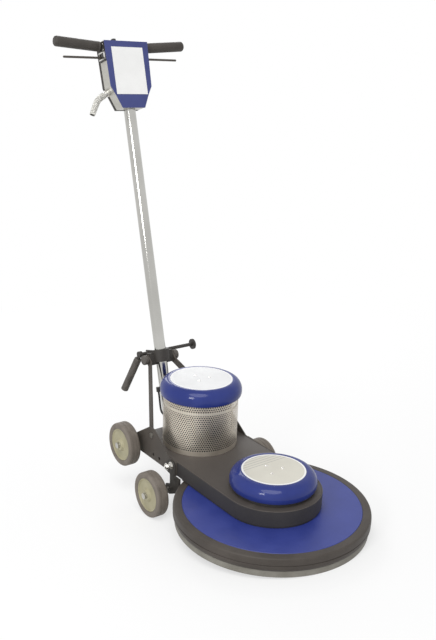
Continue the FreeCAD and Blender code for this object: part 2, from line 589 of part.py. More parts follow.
# ---- handle foot and tube, drawn along the handle's own Z from its pivot ----
node("handle_foot", cut("handle_foot", joined("foot_blank", [
    drum("foot_eye", "foot_eye_r", "2 * foot_half", ("-foot_half", "0", "0"), "X"),
    drum("foot_neck", "tube_r - tube_wall - run_gap", "60", ("0", "0", "4")),
    drum("foot_collar", "tube_r", "6", ("0", "0", "tube_low - 6.3"))]), [
    drum("foot_bore", "pivot_pin_r + run_gap", "100", ("-50", "0", "0"), "X")]), HANDLE)
node("handle_tube", cut("handle_tube", drum(
    "tube_blank", "tube_r", "head_low + tube_in_head - tube_low", ("0", "0", "tube_low")), [
    drum("tube_inside", "tube_r - tube_wall", "head_low + tube_in_head", ("0", "0", "0"))]), HANDLE)

# ---- brace: two bent flat bars, the sliding collar, its pads, boss bolts and clamp rod ----
bar_root = "guard_half - bar_sheet"
bar_top = "block_out + seat_gap"
bar_far = f"{brace_line.Length:.4f}"
bars = []
for side, sign in SIDES.items():
    inner = [(bar_root, "-bar_end"), (bar_root, "bar_end"), (bar_top, f"{bar_far} - bar_end - 4"),
             (bar_top, f"{bar_far} + bar_end - 2")]
    outer = [(f"{x} + bar_sheet", z) for x, z in reversed(inner)]
    corners = [(x if sign > 0 else f"-({x})", z) for x, z in outer + inner]
    bar = plate(f"bar_{side}", [corners if sign > 0 else corners[::-1]], "bar_width", "XZ")
    locate(bar, ("0", "bar_width / 2", "0"))
    holes = [drum(f"bar_hole_{side}_{k}", "brace_pin_r + run_gap", "400", ("-200", "0", up), "X")
             for k, up in enumerate(("0", bar_far))]
    bars.append(cut(f"brace_bar_{side}", bar, holes))
node("brace_bars", group("brace_bars", bars), BRACE)
pins = [handle_pin]
for side, sign in SIDES.items():
    shank = ("guard_half - bar_sheet - 6", "guard_half + seat_gap + side_sheet + 3.3")
    head = ("guard_half + 2 * seat_gap + side_sheet", "guard_half + 2 * seat_gap + side_sheet + 3")
    keeper = ("guard_half - bar_sheet - 6", "guard_half - bar_sheet - seat_gap - 0.5")
    pieces = [drum(f"brace_pin_{part}_{side}", radius, f"{stop} - ({start})",
                   (start if sign > 0 else f"-({stop})", "brace_y", "brace_z"), "X")
              for part, radius, (start, stop) in (("shank", "brace_pin_r", shank),
                                                  ("head", "brace_pin_r + 3.5", head),
                                                  ("keeper", "brace_pin_r + 3", keeper))]
    pins.append(joined(f"brace_pin_{side}", pieces))
node("pivot_pins", group("pivot_pins", pins))

collar_r = "tube_r + pad_thick + seat_gap + collar_wall + 0.4"
collar_in = f"{collar_r} - collar_wall"
collar_low = "collar_up - collar_half + 8"
collar_tall = "2 * collar_half"
collar_blank = joined("collar_blank", [
    drum("collar_round", collar_r, collar_tall, ("0", "0", collar_low)),
    block("collar_arms", f"2 * ({collar_r})", "rod_back + 12", collar_tall,
          (f"-({collar_r})", "0", collar_low)),
    block("collar_blocks", "2 * block_out", "2 * block_half_depth", "2 * collar_half",
          ("-block_out", "collar_back - block_half_depth", "collar_up - collar_half"))])
node("clamp_collar", cut("clamp_collar", collar_blank, [
    drum("collar_bore", "tube_r + 1", "2 * collar_up", ("0", "0", "0")),
    block("collar_slot", f"2 * ({collar_in})", "rod_back + 20", "2 * collar_up",
          (f"-({collar_in})", "0", "0")),
    block("collar_hollow", f"2 * ({collar_in})", "tube_r", collar_tall,
          (f"-({collar_in})", "-tube_r / 2", collar_low)),
    drum("collar_rod_hole", "rod_r + run_gap", "200", ("-100", "rod_back", "rod_up"), "X"),
    drum("collar_bolt_hole", "brace_pin_r + run_gap", "200", ("-100", "collar_back", "collar_up"), "X")]),
    HANDLE)
node("clamp_pads", group("clamp_pads", [
    block(f"clamp_pad_{side}", "pad_thick", "2 * block_half_depth", "collar_half * 1.6",
          ("tube_r + seat_gap" if sign > 0 else "-tube_r - seat_gap - pad_thick", "-block_half_depth / 2",
           "collar_up - collar_half * 0.4")) for side, sign in SIDES.items()]), HANDLE)
boss_bolts = []
for side, sign in SIDES.items():
    face = "block_out + 2 * seat_gap + bar_sheet"
    spans = (("shank", "brace_pin_r", f"{collar_r} + 1", face + " + 2"),
             ("boss", "boss_r", face, "boss_out"))
    boss_bolts.append(joined(f"boss_bolt_{side}", [
        drum(f"boss_{part}_{side}", radius, f"{stop} - ({start})",
             (start if sign > 0 else f"-({stop})", "collar_back", "collar_up"), "X")
        for part, radius, start, stop in spans]))
node("brace_boss_bolts", group("brace_boss_bolts", boss_bolts), HANDLE)
node("clamp_rod", joined("clamp_rod", [
    drum("rod_shank", "rod_r", "rod_near + rod_far", ("-rod_near", "rod_back", "rod_up"), "X"),
    drum("rod_disc_far", "rod_disc_r", "rod_disc", ("rod_far - 1", "rod_back", "rod_up"), "X"),
    drum("rod_keeper_far", "rod_r + 4", "10", (f"{collar_r} + 0.5", "rod_back", "rod_up"), "X")]), HANDLE)

# ---- clamp lever and its ribbed grip ----
LEVER = HANDLE * Place(V(-size("rod_near - lever_eye / 2"), size("rod_back"), size("rod_up")),
                       Turn(V(0, 1, 0), size("lever_splay")) * Turn(V(1, 0, 0), size("lever_down")))
lever_turn = LEVER.inverse() * HANDLE
eye_axis = lever_turn.Rotation.multVec(V(1, 0, 0))


def across_lever(name, radius, long):
    """A cylinder on the clamp rod's axis, centred on the lever."""
    thing = doc.addObject("Part::Cylinder", name)
    bind(thing, Radius=radius, Height=long)
    start = eye_axis * (-size(long) / 2)
    thing.Placement = Place(start, Turn(V(0, 0, 1), eye_axis))
    return thing


node("clamp_lever", cut("clamp_lever", joined("lever_blank", [
    across_lever("lever_eye_drum", "lever_eye_r", "lever_eye"),
    drum("lever_stem", "lever_stem_r", "lever_reach - 4", ("0", "0", "4 - lever_reach"))]), [
    across_lever("lever_bore", "rod_r + run_gap", "lever_eye + 12")]), LEVER)
node("clamp_grip", cut("clamp_grip", drum(
    "clamp_grip_blank", "clamp_grip_r", "clamp_grip_long", ("0", "0", "-lever_reach - 4")), [
    drum("clamp_grip_bore", "lever_stem_r + run_gap", "clamp_grip_long",
         ("0", "0", "3.7 - lever_reach"))]), LEVER)

# ---- handle head: drawn from its lower edge, half outline mirrored ----


def head_outline(inset):
    """The head's outline, drawn in by inset on every side."""
    right = [(f"head_half_low - 0.7 * ({inset})", f"head_low + {inset}"),
             (f"head_half_one - 1.05 * ({inset})", f"head_low + head_rise_one + 0.4 * ({inset})"),
             (f"head_half_two - {inset}", f"head_low + head_rise_two + 0.3 * ({inset})"),
             (f"head_half_top - {inset}", f"head_low + head_rise - ({inset})")]
    return right + [(f"-({x})", z) for x, z in reversed(right)]


def in_head(y):
    return HANDLE * at_level("0", y, "0")


bar_z = "head_low + head_rise - bar_drop"
bar_hole_z = f"{bar_z} + (head_half_top - head_wall / 2 - bar_straight) * tan(bar_rise)"
lever_z = "head_low + head_rise - switch_lever_drop"
gland_x, gland_z = "-(head_half_one + head_half_two) / 2", "head_low + (head_rise_one + head_rise_two) / 2"
slant = Turn(V(0, 0, 1), V(-size("head_rise_two - head_rise_one"), 0,
                           -size("head_half_two - head_half_one")))
GLAND = HANDLE * Place(V(size(gland_x), size("gland_y"), size(gland_z)), slant)

band_blank = plate("band_blank", [head_outline("0"), head_outline("head_wall")],
                   "head_front_y + head_back_y", "XZ")
locate(band_blank, ("0", "head_back_y", "0"))
gland_hole = doc.addObject("Part::Cylinder", "gland_hole")
bind(gland_hole, Radius="gland_r - 2", Height="30")
gland_hole.Placement = HANDLE.inverse() * GLAND * Place(V(0, 0, -15), Turn())
node("head_band", cut("head_band", band_blank, [
    drum("band_bar_hole", "bar_r + 0.5", "4 * head_half_top", ("-2 * head_half_top", "0", bar_hole_z), "X"),
    drum("band_tube_hole", "tube_r + seat_gap", "20", ("0", "0", "head_low - 5")),
    drum("band_button_hole", "button_r + run_gap", "20",
         ("button_x", "button_y", "head_low + head_rise - 12")),
    block("band_lever_slots", "4 * head_half_top", "2 * switch_lever_r + 3", "16",
          ("-2 * head_half_top", "switch_lever_y - switch_lever_r - 1.5", f"{lever_z} - 6")), gland_hole]),
    HANDLE)
front_body = plate("head_front", [head_outline("-0.8")], "front_sheet", "XZ")
node("head_front", front_body, in_head("-head_front_y - seat_gap"))
lever_pins = [(f"{sign} * switch_lever_pin_x", lever_z) for sign in (-1, 1)]
back_plate = plate("back_plate", [head_outline("0.3")], "back_sheet", "XZ")
locate(back_plate, ("0", "head_back_y + seat_gap + back_sheet", "0"))
node("head_back", joined("head_back", [back_plate] + [
    drum(f"lever_pin_{k}", "switch_pin_r", "head_back_y - switch_lever_y + switch_eye_width / 2 + 4",
         (x, "switch_lever_y - switch_eye_width / 2 - 3", z), "Y") for k, (x, z) in enumerate(lever_pins)]),
    HANDLE)
node("head_plate", plate("head_plate", [[
    ("-plate_half", "head_low + plate_low"), ("plate_half", "head_low + plate_low"),
    ("plate_half", "head_low + plate_high"), ("-plate_half", "head_low + plate_high")]],
    "plate_thick", "XZ"), in_head("-head_front_y - front_sheet - 2 * seat_gap"))

bar_run = "(grip_start + grip_long - 4 - bar_straight) / cos(bar_rise)"
bar_pieces = [drum("bar_middle", "bar_r", "2 * bar_straight", ("-bar_straight", "0", bar_z), "X")]
grips = []
for side, sign in SIDES.items():
    rising = Turn(V(0, 1, 0), sign * (90 - size("bar_rise")))
    arm = doc.addObject("Part::Cylinder", f"bar_arm_{side}")
    bind(arm, Radius="bar_r", Height=bar_run)
    arm.Placement = Place(V(), rising)
    locate(arm, (f"{sign} * bar_straight", "0", bar_z))
    bar_pieces += [arm, ball(f"bar_bend_{side}", "bar_r", (f"{sign} * bar_straight", "0", bar_z))]
    grip = turned(f"hand_grip_{side}", [
        ("bar_r + run_gap", "0"), ("grip_r - 2", "0"), ("grip_r", "2"), ("grip_r", "grip_long - 7"),
        ("grip_r - 7", "grip_long", "7", 1), ("0", "grip_long"), ("0", "grip_long - 3"),
        ("bar_r + run_gap", "grip_long - 3")])
    grip.Placement = Place(V(sign * size("grip_start"), 0, size(
        f"{bar_z} + (grip_start - bar_straight) * tan(bar_rise)")), rising)
    grips.append(grip)
node("handlebar", joined("handlebar", bar_pieces), HANDLE)
node("hand_grips", group("hand_grips", grips), HANDLE)

# ---- switch levers, switch block and lock-out button ----
for side, sign in SIDES.items():
    start = "switch_lever_pin_x" if sign > 0 else "-switch_lever_tip"
    rod = drum(f"switch_rod_{side}", "switch_lever_r", "switch_lever_tip - switch_lever_pin_x",
               (start, "switch_lever_y", lever_z), "X")
    eye = drum(f"switch_eye_{side}", "switch_eye_r", "switch_eye_width",
               (f"{sign} * switch_lever_pin_x", "switch_lever_y - switch_eye_width / 2", lever_z), "Y")
    hole = drum(f"switch_eye_bore_{side}", "switch_pin_r + run_gap", "60",
                (f"{sign} * switch_lever_pin_x", "-30", lever_z), "Y")
    tip = ball(f"switch_tip_{side}", "switch_lever_r",
               (f"{sign} * switch_lever_tip", "switch_lever_y", lever_z))
    blank = joined(f"switch_blank_{side}", [rod, eye, tip])
    node(f"switch_lever_{side}", cut(f"switch_lever_{side}", blank, [hole]), HANDLE)
node("switch_block", group("switch_block", [block(
    "switch_case", "70", "head_back_y + 10", "26", ("-35", "-10", f"{lever_z} - 18"))]), HANDLE)
button_top = "head_low + head_rise + button_up"
node("lockout_button", turned("lockout_button", [
    ("0", f"{button_top} - button_up - head_wall - button_travel - 3"),
    ("button_r - 0.05", f"{button_top} - button_up - head_wall - button_travel - 3"),
    ("button_r - 0.05", f"{button_top} - 1.5"), ("button_r - 1.5", button_top), ("0", button_top)]),
    HANDLE * at_level("button_x", "button_y", "0"))

head_screws = []
for side, sign in SIDES.items():
    for k, up in enumerate(("head_low + head_rise - 31", "head_low + head_rise - 3.5")):
        start = "head_half_top + 0.15" if k else "head_half_top - 0.6"
        head_screws.append(drum(f"head_screw_{side}_{k}", "2.2", "1.6",
                                (start if sign > 0 else f"-({start}) - 1.6", "-18", up), "X"))
node("head_screws", group("head_screws", head_screws), HANDLE)

# ---- cord gland and its woven grip on the head's lower right corner ----
node("cord_gland", cut("cord_gland", joined("gland_blank", [
    drum("gland_thread", "gland_r - 2 - run_gap", "head_wall + 6", ("0", "0", "-head_wall - 6")),
    drum("gland_body", "gland_r", "gland_long", ("0", "0", "seat_gap")),
    drum("gland_nut", "gland_r + 2.5", "9", ("0", "0", "seat_gap"))]), [
    drum("gland_bore", "gland_bore_r", "60", ("0", "0", "-20"))]), GLAND)


def mesh_sleeve():
    """A woven sleeve that leaves the gland straight, bends down and ends open."""
    radius, swing = size("mesh_bend_r"), math.radians(size("mesh_bend"))
    first = V(0, 0, size("gland_long + seat_gap * 2"))
    second = first + V(0, 0, size("mesh_straight"))

    def bend(angle):
        return second + V(radius * (math.cos(angle) - 1), 0, radius * math.sin(angle))

    def tube(tube_r):
        ring = Part.Circle(first, V(0, 0, 1), size(tube_r))
        return path.makePipeShell([Part.Wire(ring.toShape())], True, True)

    third = bend(swing)
    last = third + V(-math.sin(swing), 0, math.cos(swing)) * size("mesh_tail")
    path = Part.Wire([Part.LineSegment(first, second).toShape(),
                      Part.Arc(second, bend(swing / 2), third).toShape(),
                      Part.LineSegment(third, last).toShape()])
    return tube("mesh_r").cut(tube("mesh_r - mesh_wall"))


sleeve = doc.addObject("Part::Feature", "cord_grip")
sleeve.Shape = mesh_sleeve()
node("cord_grip", sleeve, GLAND)

# ---- motor lead: from a relief on the tube's right side down to the guard behind the motor ----
node("lead_relief", joined("lead_relief", [
    drum("relief_barrel", "relief_r", "relief_long", ("-tube_r - seat_gap - relief_r", "0", "relief_up")),
    drum("relief_stem", "relief_r - 2", "relief_r", ("-tube_r - seat_gap - relief_r", "0",
         "relief_up + relief_long / 2"), "X")]), HANDLE)


def smooth_path(points):
    """Straight runs joined by tangent arcs, each as large as its two runs allow."""
    edges, start = [], points[0]
    for before, corner, after in zip(points, points[1:], points[2:]):
        back, ahead = before - corner, after - corner
        half = (math.pi - back.getAngle(ahead)) / 2
        trim = 0.45 * min(back.Length, ahead.Length)
        radius = trim / math.tan(half)
        back.normalize()
        ahead.normalize()
        enter, leave = corner + back * trim, corner + ahead * trim
        middle = (back + ahead).normalize()
        arc = corner + middle * (radius / math.cos(half) - radius)
        edges += [Part.LineSegment(start, enter).toShape(), Part.Arc(enter, arc, leave).toShape()]
        start = leave
    edges.append(Part.LineSegment(start, points[-1]).toShape())
    return Part.Wire(edges)


def lead_tube():
    top = HANDLE.multVec(V(-size("tube_r + seat_gap + relief_r"), 0, size("relief_up")))
    down = HANDLE.Rotation.multVec(V(0, 0, -1))
    foot = V(size("grommet_x"), size("grommet_y"), size("guard_top + grommet_high + seat_gap"))
    points = [top, top + down * size("lead_drop"),
              V(size("lead_mid_x"), size("lead_mid_y"), size("lead_mid_z")),
              V(size("lead_low_x"), size("lead_low_y"), size("lead_low_z")),
              V(size("lead_low_x"), size("lead_run_y"), size("lead_run_z")),
              foot + V(0, 0, size("lead_drop + 2")), foot]
    ring = Part.Wire(Part.Circle(top, points[1] - top, size("lead_r")).toShape())
    return smooth_path(points).makePipeShell([ring], True, True)


lead = doc.addObject("Part::Feature", "motor_lead")
lead.Shape = lead_tube()
node("motor_lead", lead)

# ---- check, place and write every sub-part ----
doc.recompute()
for label, (thing, frame) in level_parts.items():
    thing.Placement = tilt * frame
doc.recompute()

faults = [f"{thing.Name}: {thing.State}" for thing in doc.Objects
          if "Invalid" in thing.State or "Error" in thing.State]
for label, (thing, frame) in level_parts.items():
    if thing.Shape.isNull() or not thing.Shape.isValid() or not thing.Shape.Solids:
        faults.append(f"{label}: bad shape")
if faults:
    raise RuntimeError("; ".join(faults))

whole = FreeCAD.BoundBox()
for thing, frame in level_parts.values():
    whole.add(thing.Shape.optimalBoundingBox(False, False))
stance = V(0, -whole.Center.y, -floor_z)
os.makedirs("parts", exist_ok=True)
for label, (thing, frame) in level_parts.items():
    thing.Placement = Place(stance, Turn()) * thing.Placement
doc.recompute()
for label, (thing, frame) in level_parts.items():
    thing.Shape.exportStep(f"parts/{label}.step")

print(len(level_parts), "sub-parts; nose down", round(nose_down, 4), "degrees; moved by", stance)
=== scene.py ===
"""High speed floor burnisher: looks and setting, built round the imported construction."""

import json
import math

import bmesh
import bpy
from mathutils import Matrix, Vector


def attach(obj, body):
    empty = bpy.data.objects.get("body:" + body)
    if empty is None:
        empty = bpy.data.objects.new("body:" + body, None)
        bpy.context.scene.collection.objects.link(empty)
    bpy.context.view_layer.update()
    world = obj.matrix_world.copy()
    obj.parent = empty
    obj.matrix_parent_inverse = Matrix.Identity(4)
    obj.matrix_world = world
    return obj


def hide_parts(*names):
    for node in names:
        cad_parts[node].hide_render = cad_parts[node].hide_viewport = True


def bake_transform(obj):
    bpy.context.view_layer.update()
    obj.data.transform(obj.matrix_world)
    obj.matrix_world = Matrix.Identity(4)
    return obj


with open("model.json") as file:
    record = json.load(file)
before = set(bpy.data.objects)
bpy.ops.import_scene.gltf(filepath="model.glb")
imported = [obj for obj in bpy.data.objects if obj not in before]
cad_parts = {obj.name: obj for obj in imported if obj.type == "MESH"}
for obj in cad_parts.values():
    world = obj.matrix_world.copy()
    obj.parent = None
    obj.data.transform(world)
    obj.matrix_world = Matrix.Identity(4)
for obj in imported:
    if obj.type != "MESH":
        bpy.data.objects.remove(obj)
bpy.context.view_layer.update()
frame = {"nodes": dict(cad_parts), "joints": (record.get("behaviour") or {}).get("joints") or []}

# ---- How the machine stands ----
# The machine leans nose down on its skirt and front wheels, and the handle leans back from its foot.
# Pieces are drawn in the machine's own level place, or up the handle from its foot, and then set there.
joints = {joint["name"]: joint for joint in frame["joints"]}
SPINDLE_PIVOT_HEIGHT = 0.100
spindle_up = Vector(joints["drive_spin"]["axis"])
machine = (Matrix.Translation(joints["drive_spin"]["pos_m"])
           @ Matrix.Rotation(math.atan2(-spindle_up.y, spindle_up.z), 4, "X")
           @ Matrix.Translation((0, 0, -SPINDLE_PIVOT_HEIGHT)))
handle_up = -Vector(joints["lockout_press"]["axis"])
handle = (Matrix.Translation(joints["handle_tilt"]["pos_m"])
          @ Matrix.Rotation(math.atan2(-handle_up.y, handle_up.z), 4, "X"))

# ---- Camera ----
# A long lens at standing height, off the machine's right front corner and looking a little down.
# It has no shift, so that the machine stays in the frame from any side.
CAMERA_PLACE = Vector((-1.4199, -1.9390, 1.1204))
LOOK_ALONG = Vector((0.57587, 0.78867, -0.21535))
LOOK_ACROSS = Vector((0.80345, -0.59465, -0.02925))
LENS_LENGTH = 46.62
camera_data = bpy.data.cameras.new("camera")
camera_data.lens = LENS_LENGTH
camera = bpy.data.objects.new("camera", camera_data)
bpy.context.scene.collection.objects.link(camera)
look_up = LOOK_ACROSS.cross(LOOK_ALONG)
camera.matrix_world = Matrix.Translation(CAMERA_PLACE) @ Matrix(
    (LOOK_ACROSS, look_up, -LOOK_ALONG)).transposed().to_4x4()
bpy.context.scene.camera = camera

# ---- Studio ----
# A pale floor that fades out to a white sky, under one broad soft sun and two weaker soft lamps.
# The sky is white to the eye and in gloss, but lights the machine with a plain grey.
SKY_LIGHT = (0.52, 0.52, 0.52, 1)
SKY_SEEN = (1, 1, 1, 1)
FLOOR_HALF = 60
FLOOR_PAINT = (0.86, 0.86, 0.86, 1)
FLOOR_FADE = {"From_Min": 1.0, "From_Max": 3.5, "To_Min": 0.6, "To_Max": 1.0}
LAMP_AIM = Vector((0, 0, 0.5))
LAMPS = (("sun", "SUN", (-1.6, -1.9, 4.0), math.radians(40), 1.55),
         ("side_lamp", "AREA", (-3.0, -1.6, 1.6), 0.8, 34),
         ("back_lamp", "AREA", (1.4, 3.2, 2.4), 1.8, 40))


def set_sockets(node, **values):
    """Set a node's sockets by name, with a low line for each space."""
    for socket_name, value in values.items():
        node.inputs[socket_name.replace("_", " ")].default_value = value


def join(source, out_name, target, in_name):
    """Link one node's output to another's input."""
    source.id_data.links.new(source.outputs[out_name], target.inputs[in_name])


def seen_or_mirrored(nodes):
    """A node that is one for the eye and for gloss, and nought for all other light."""
    ray, seen = nodes.new("ShaderNodeLightPath"), nodes.new("ShaderNodeMath")
    seen.operation = "MAXIMUM"
    join(ray, "Is Camera Ray", seen, 0)
    join(ray, "Is Glossy Ray", seen, 1)
    return seen


bpy.context.scene.view_settings.view_transform = "Standard"
world = bpy.data.worlds.new("studio")
bpy.context.scene.world = world
world.use_nodes = True
sky_nodes = world.node_tree.nodes
sky_mix = sky_nodes.new("ShaderNodeMix")
sky_mix.data_type = "RGBA"
set_sockets(sky_mix, A=SKY_LIGHT, B=SKY_SEEN)
join(seen_or_mirrored(sky_nodes), "Value", sky_mix, "Factor")
join(sky_mix, "Result", sky_nodes["Background"], "Color")

floor_mesh = bpy.data.meshes.new("floor")
floor_bm = bmesh.new()
bmesh.ops.create_grid(floor_bm, x_segments=1, y_segments=1, size=FLOOR_HALF)
floor_bm.to_mesh(floor_mesh)
floor_bm.free()
floor = bpy.data.objects.new("floor", floor_mesh)
bpy.context.scene.collection.objects.link(floor)
floor_paint = bpy.data.materials.new("floor_paint")
floor_paint.use_nodes = True
floor_nodes = floor_paint.node_tree.nodes
floor_shader = floor_nodes["Principled BSDF"]
set_sockets(floor_shader, Base_Color=FLOOR_PAINT, Roughness=0.9, Specular_IOR_Level=0.1)
floor_glow, floor_place = floor_nodes.new("ShaderNodeEmission"), floor_nodes.new("ShaderNodeTexCoord")
floor_share, floor_blend = floor_nodes.new("ShaderNodeMath"), floor_nodes.new("ShaderNodeMixShader")
floor_reach, floor_fade = floor_nodes.new("ShaderNodeVectorMath"), floor_nodes.new("ShaderNodeMapRange")
floor_reach.operation = "LENGTH"
floor_share.operation = "MULTIPLY"
set_sockets(floor_fade, **FLOOR_FADE)
join(floor_place, "Object", floor_reach, 0)
join(floor_reach, "Value", floor_fade, "Value")
join(seen_or_mirrored(floor_nodes), "Value", floor_share, 0)
join(floor_fade, "Result", floor_share, 1)
join(floor_share, "Value", floor_blend, "Fac")
join(floor_shader, "BSDF", floor_blend, 1)
join(floor_glow, "Emission", floor_blend, 2)
join(floor_blend, "Shader", floor_nodes["Material Output"], "Surface")
floor_mesh.materials.append(floor_paint)

for lamp_name, kind, place, breadth, power in LAMPS:
    lamp_data = bpy.data.lights.new(lamp_name, kind)
    lamp_data.energy = power
    if kind == "SUN":
        lamp_data.angle = breadth
    else:
        lamp_data.size = breadth
    lamp = bpy.data.objects.new(lamp_name, lamp_data)
    bpy.context.scene.collection.objects.link(lamp)
    lamp.matrix_world = Matrix.Translation(place) @ (
        LAMP_AIM - Vector(place)).to_track_quat("-Z", "Y").to_matrix().to_4x4()

# ---- Deck pan ----
# A pressed steel disc with a turned-down wall and a hole for the spindle housing, in blue stove
# enamel with a faint orange peel.


def build_grain_group():
    """Speckle of two sizes on object coordinates: a colour mask and a height."""
    group = bpy.data.node_groups.new("surface_grain", "ShaderNodeTree")
    for name, value in (("Fine Scale", 900.0), ("Broad Scale", 14.0), ("Broad Share", 0.5)):
        socket = group.interface.new_socket(name, in_out="INPUT", socket_type="NodeSocketFloat")
        socket.default_value = value
    group.interface.new_socket("Mask", in_out="OUTPUT", socket_type="NodeSocketFloat")
    group.interface.new_socket("Height", in_out="OUTPUT", socket_type="NodeSocketFloat")
    nodes = group.nodes
    given, result = nodes.new("NodeGroupInput"), nodes.new("NodeGroupOutput")
    place = nodes.new("ShaderNodeTexCoord")
    fine, broad = nodes.new("ShaderNodeTexNoise"), nodes.new("ShaderNodeTexNoise")
    set_sockets(fine, Detail=2.0)
    set_sockets(broad, Detail=5.0)
    blend = nodes.new("ShaderNodeMix")
    for noise, name in ((fine, "Fine Scale"), (broad, "Broad Scale")):
        join(place, "Object", noise, "Vector")
        join(given, name, noise, "Scale")
    join(given, "Broad Share", blend, "Factor")
    join(fine, "Fac", blend, "A")
    join(broad, "Fac", blend, "B")
    join(blend, "Result", result, "Mask")
    join(fine, "Fac", result, "Height")
    return group


surface_grain = build_grain_group()


def grained_finish(name, colour, second, roughness, metallic=0.0, fine=900.0, broad=14.0, share=0.5,
                   bump=0.15, depth=0.0002, coat=0.0, specular=0.5, rough_spread=0.12, painted_top_light=None):
    """A material whose colour and roughness wander with the grain, with a bump of the fine grain.

    The painted top light is a second colour on the faces that look up: painted light that makes tops read
    lighter than sides.
    """
    material = bpy.data.materials.new(name)
    material.use_nodes = True
    nodes = material.node_tree.nodes
    shader = nodes["Principled BSDF"]
    set_sockets(shader, Metallic=metallic, Coat_Weight=coat, Coat_Roughness=0.05,
                Specular_IOR_Level=specular)
    grain = nodes.new("ShaderNodeGroup")
    grain.node_tree = surface_grain
    grain.name = "grain"
    set_sockets(grain, Fine_Scale=fine, Broad_Scale=broad, Broad_Share=share)
    tint = nodes.new("ShaderNodeMapRange")
    set_sockets(tint, From_Min=0.38, From_Max=0.62)
    mix = nodes.new("ShaderNodeMix")
    mix.name = "tint"
    mix.data_type = "RGBA"
    set_sockets(mix, A=colour, B=second)
    sheen = nodes.new("ShaderNodeMapRange")
    set_sockets(sheen, To_Min=max(roughness - rough_spread, 0.03), To_Max=min(roughness + rough_spread, 1.0))
    relief = nodes.new("ShaderNodeBump")
    relief.name = "relief"
    set_sockets(relief, Strength=bump, Distance=depth)
    join(grain, "Mask", tint, "Value")
    join(tint, "Result", mix, "Factor")
    join(mix, "Result", shader, "Base Color")
    # Painted light: faces that look up take a paler colour, so tops read lit and sides shaded.
    if painted_top_light:
        facing, height = nodes.new("ShaderNodeTexCoord"), nodes.new("ShaderNodeSeparateXYZ")
        faces_up, top_light_mix = nodes.new("ShaderNodeMapRange"), nodes.new("ShaderNodeMix")
        set_sockets(faces_up, From_Min=0.35, From_Max=0.95)
        top_light_mix.data_type = "RGBA"
        set_sockets(top_light_mix, B=painted_top_light)
        join(facing, "Normal", height, "Vector")
        join(height, "Z", faces_up, "Value")
        join(faces_up, "Result", top_light_mix, "Factor")
        join(mix, "Result", top_light_mix, "A")
        join(top_light_mix, "Result", shader, "Base Color")
    join(grain, "Mask", sheen, "Value")
    join(sheen, "Result", shader, "Roughness")
    join(grain, "Height", relief, "Height")
    join(relief, "Normal", shader, "Normal")
    return material


deck_enamel = grained_finish("deck_enamel", (0.024, 0.038, 0.205, 1), (0.032, 0.048, 0.236, 1), 0.42,
                             fine=420.0, share=0.9, bump=0.03, depth=0.0002, specular=0.4, rough_spread=0.06)


def dress(material, *node_names):
    """Give a finish to CAD pieces that keep their own shape."""
    for node_name in node_names:
        for slot in frame["nodes"][node_name].material_slots:
            slot.material = material


def as_object(bm, name, material, place=None, soften=None):
    """Close a bmesh into an object at the origin, with its place in its mesh.

    Soften is the turn in degrees up to which two faces shade as one.
    """
    if place is not None:
        bmesh.ops.transform(bm, matrix=place, verts=bm.verts)
    mesh = bpy.data.meshes.new(name)
    bm.to_mesh(mesh)
    bm.free()
    mesh.materials.append(material)
    mesh.shade_smooth()
    if soften:
        mesh.set_sharp_from_angle(angle=math.radians(soften))
    thing = bpy.data.objects.new(name, mesh)
    bpy.context.scene.collection.objects.link(thing)
    return thing


def finish_piece(bm, name, material, body, place=None, stands_for=(), soften=35):
    """Make a bmesh a piece that rides on a body and stands for the CAD nodes named."""
    thing = as_object(bm, name, material, place, soften)
    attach(thing, body)
    if stands_for:
        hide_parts(*stands_for)


SHARP_TURN = math.radians(40)


def softened(node_name, material, body, round_off):
    """A copy of a CAD piece with its sharp edges eased, which stands for it."""
    bm = bmesh.new()
    bm.from_mesh(frame["nodes"][node_name].data)
    bmesh.ops.remove_doubles(bm, verts=bm.verts, dist=0.00002)
    bmesh.ops.dissolve_limit(bm, angle_limit=math.radians(0.5), verts=bm.verts, edges=bm.edges)
    sharp = [edge for edge in bm.edges
             if len(edge.link_faces) == 2 and edge.calc_face_angle(0) > SHARP_TURN]
    bmesh.ops.bevel(bm, geom=sharp, offset=round_off, segments=2, profile=0.5, affect="EDGES",
                    material=-1, clamp_overlap=True)
    finish_piece(bm, node_name + "_skin", material, body, stands_for=(node_name,), soften=20)


def arc(across, up, radius, start, stop, steps):
    """Points of a circular arc in an outline, from one angle to another in degrees."""
    turns = [math.radians(start + (stop - start) * step / steps) for step in range(steps + 1)]
    return [(across + radius * math.cos(turn), up + radius * math.sin(turn)) for turn in turns]


def spun(outline, steps=96, closed=True):
    """Spin an outline of (radius, height) points round the Z axis into a closed skin."""
    bm = bmesh.new()
    verts = [bm.verts.new((radius, 0, height)) for radius, height in outline]
    pairs = list(zip(verts, verts[1:])) + ([(verts[-1], verts[0])] if closed else [])
    edges = [bm.edges.new(pair) for pair in pairs]
    bmesh.ops.spin(bm, geom=verts + edges, cent=(0, 0, 0), axis=(0, 0, 1), angle=math.tau, steps=steps,
                   use_merge=True)
    bmesh.ops.remove_doubles(bm, verts=bm.verts, dist=0.000002)
    bmesh.ops.recalc_face_normals(bm, faces=bm.faces)
    return bm


PAN_RADIUS = 0.259
PAN_TOP = 0.121
PAN_SHEET = 0.004
PAN_HOLE = 0.0443
PAN_WALL_LOW = 0.064
PAN_EASE = 0.001
pan_outline = [(PAN_HOLE, PAN_TOP), (PAN_RADIUS - PAN_EASE, PAN_TOP), (PAN_RADIUS, PAN_TOP - PAN_EASE),
               (PAN_RADIUS, PAN_WALL_LOW), (PAN_RADIUS - PAN_SHEET, PAN_WALL_LOW),
               (PAN_RADIUS - PAN_SHEET, PAN_TOP - PAN_SHEET), (PAN_HOLE, PAN_TOP - PAN_SHEET)]
finish_piece(spun(pan_outline, 160), "deck_pan_skin", deck_enamel, "chassis", machine, ("deck_pan",))

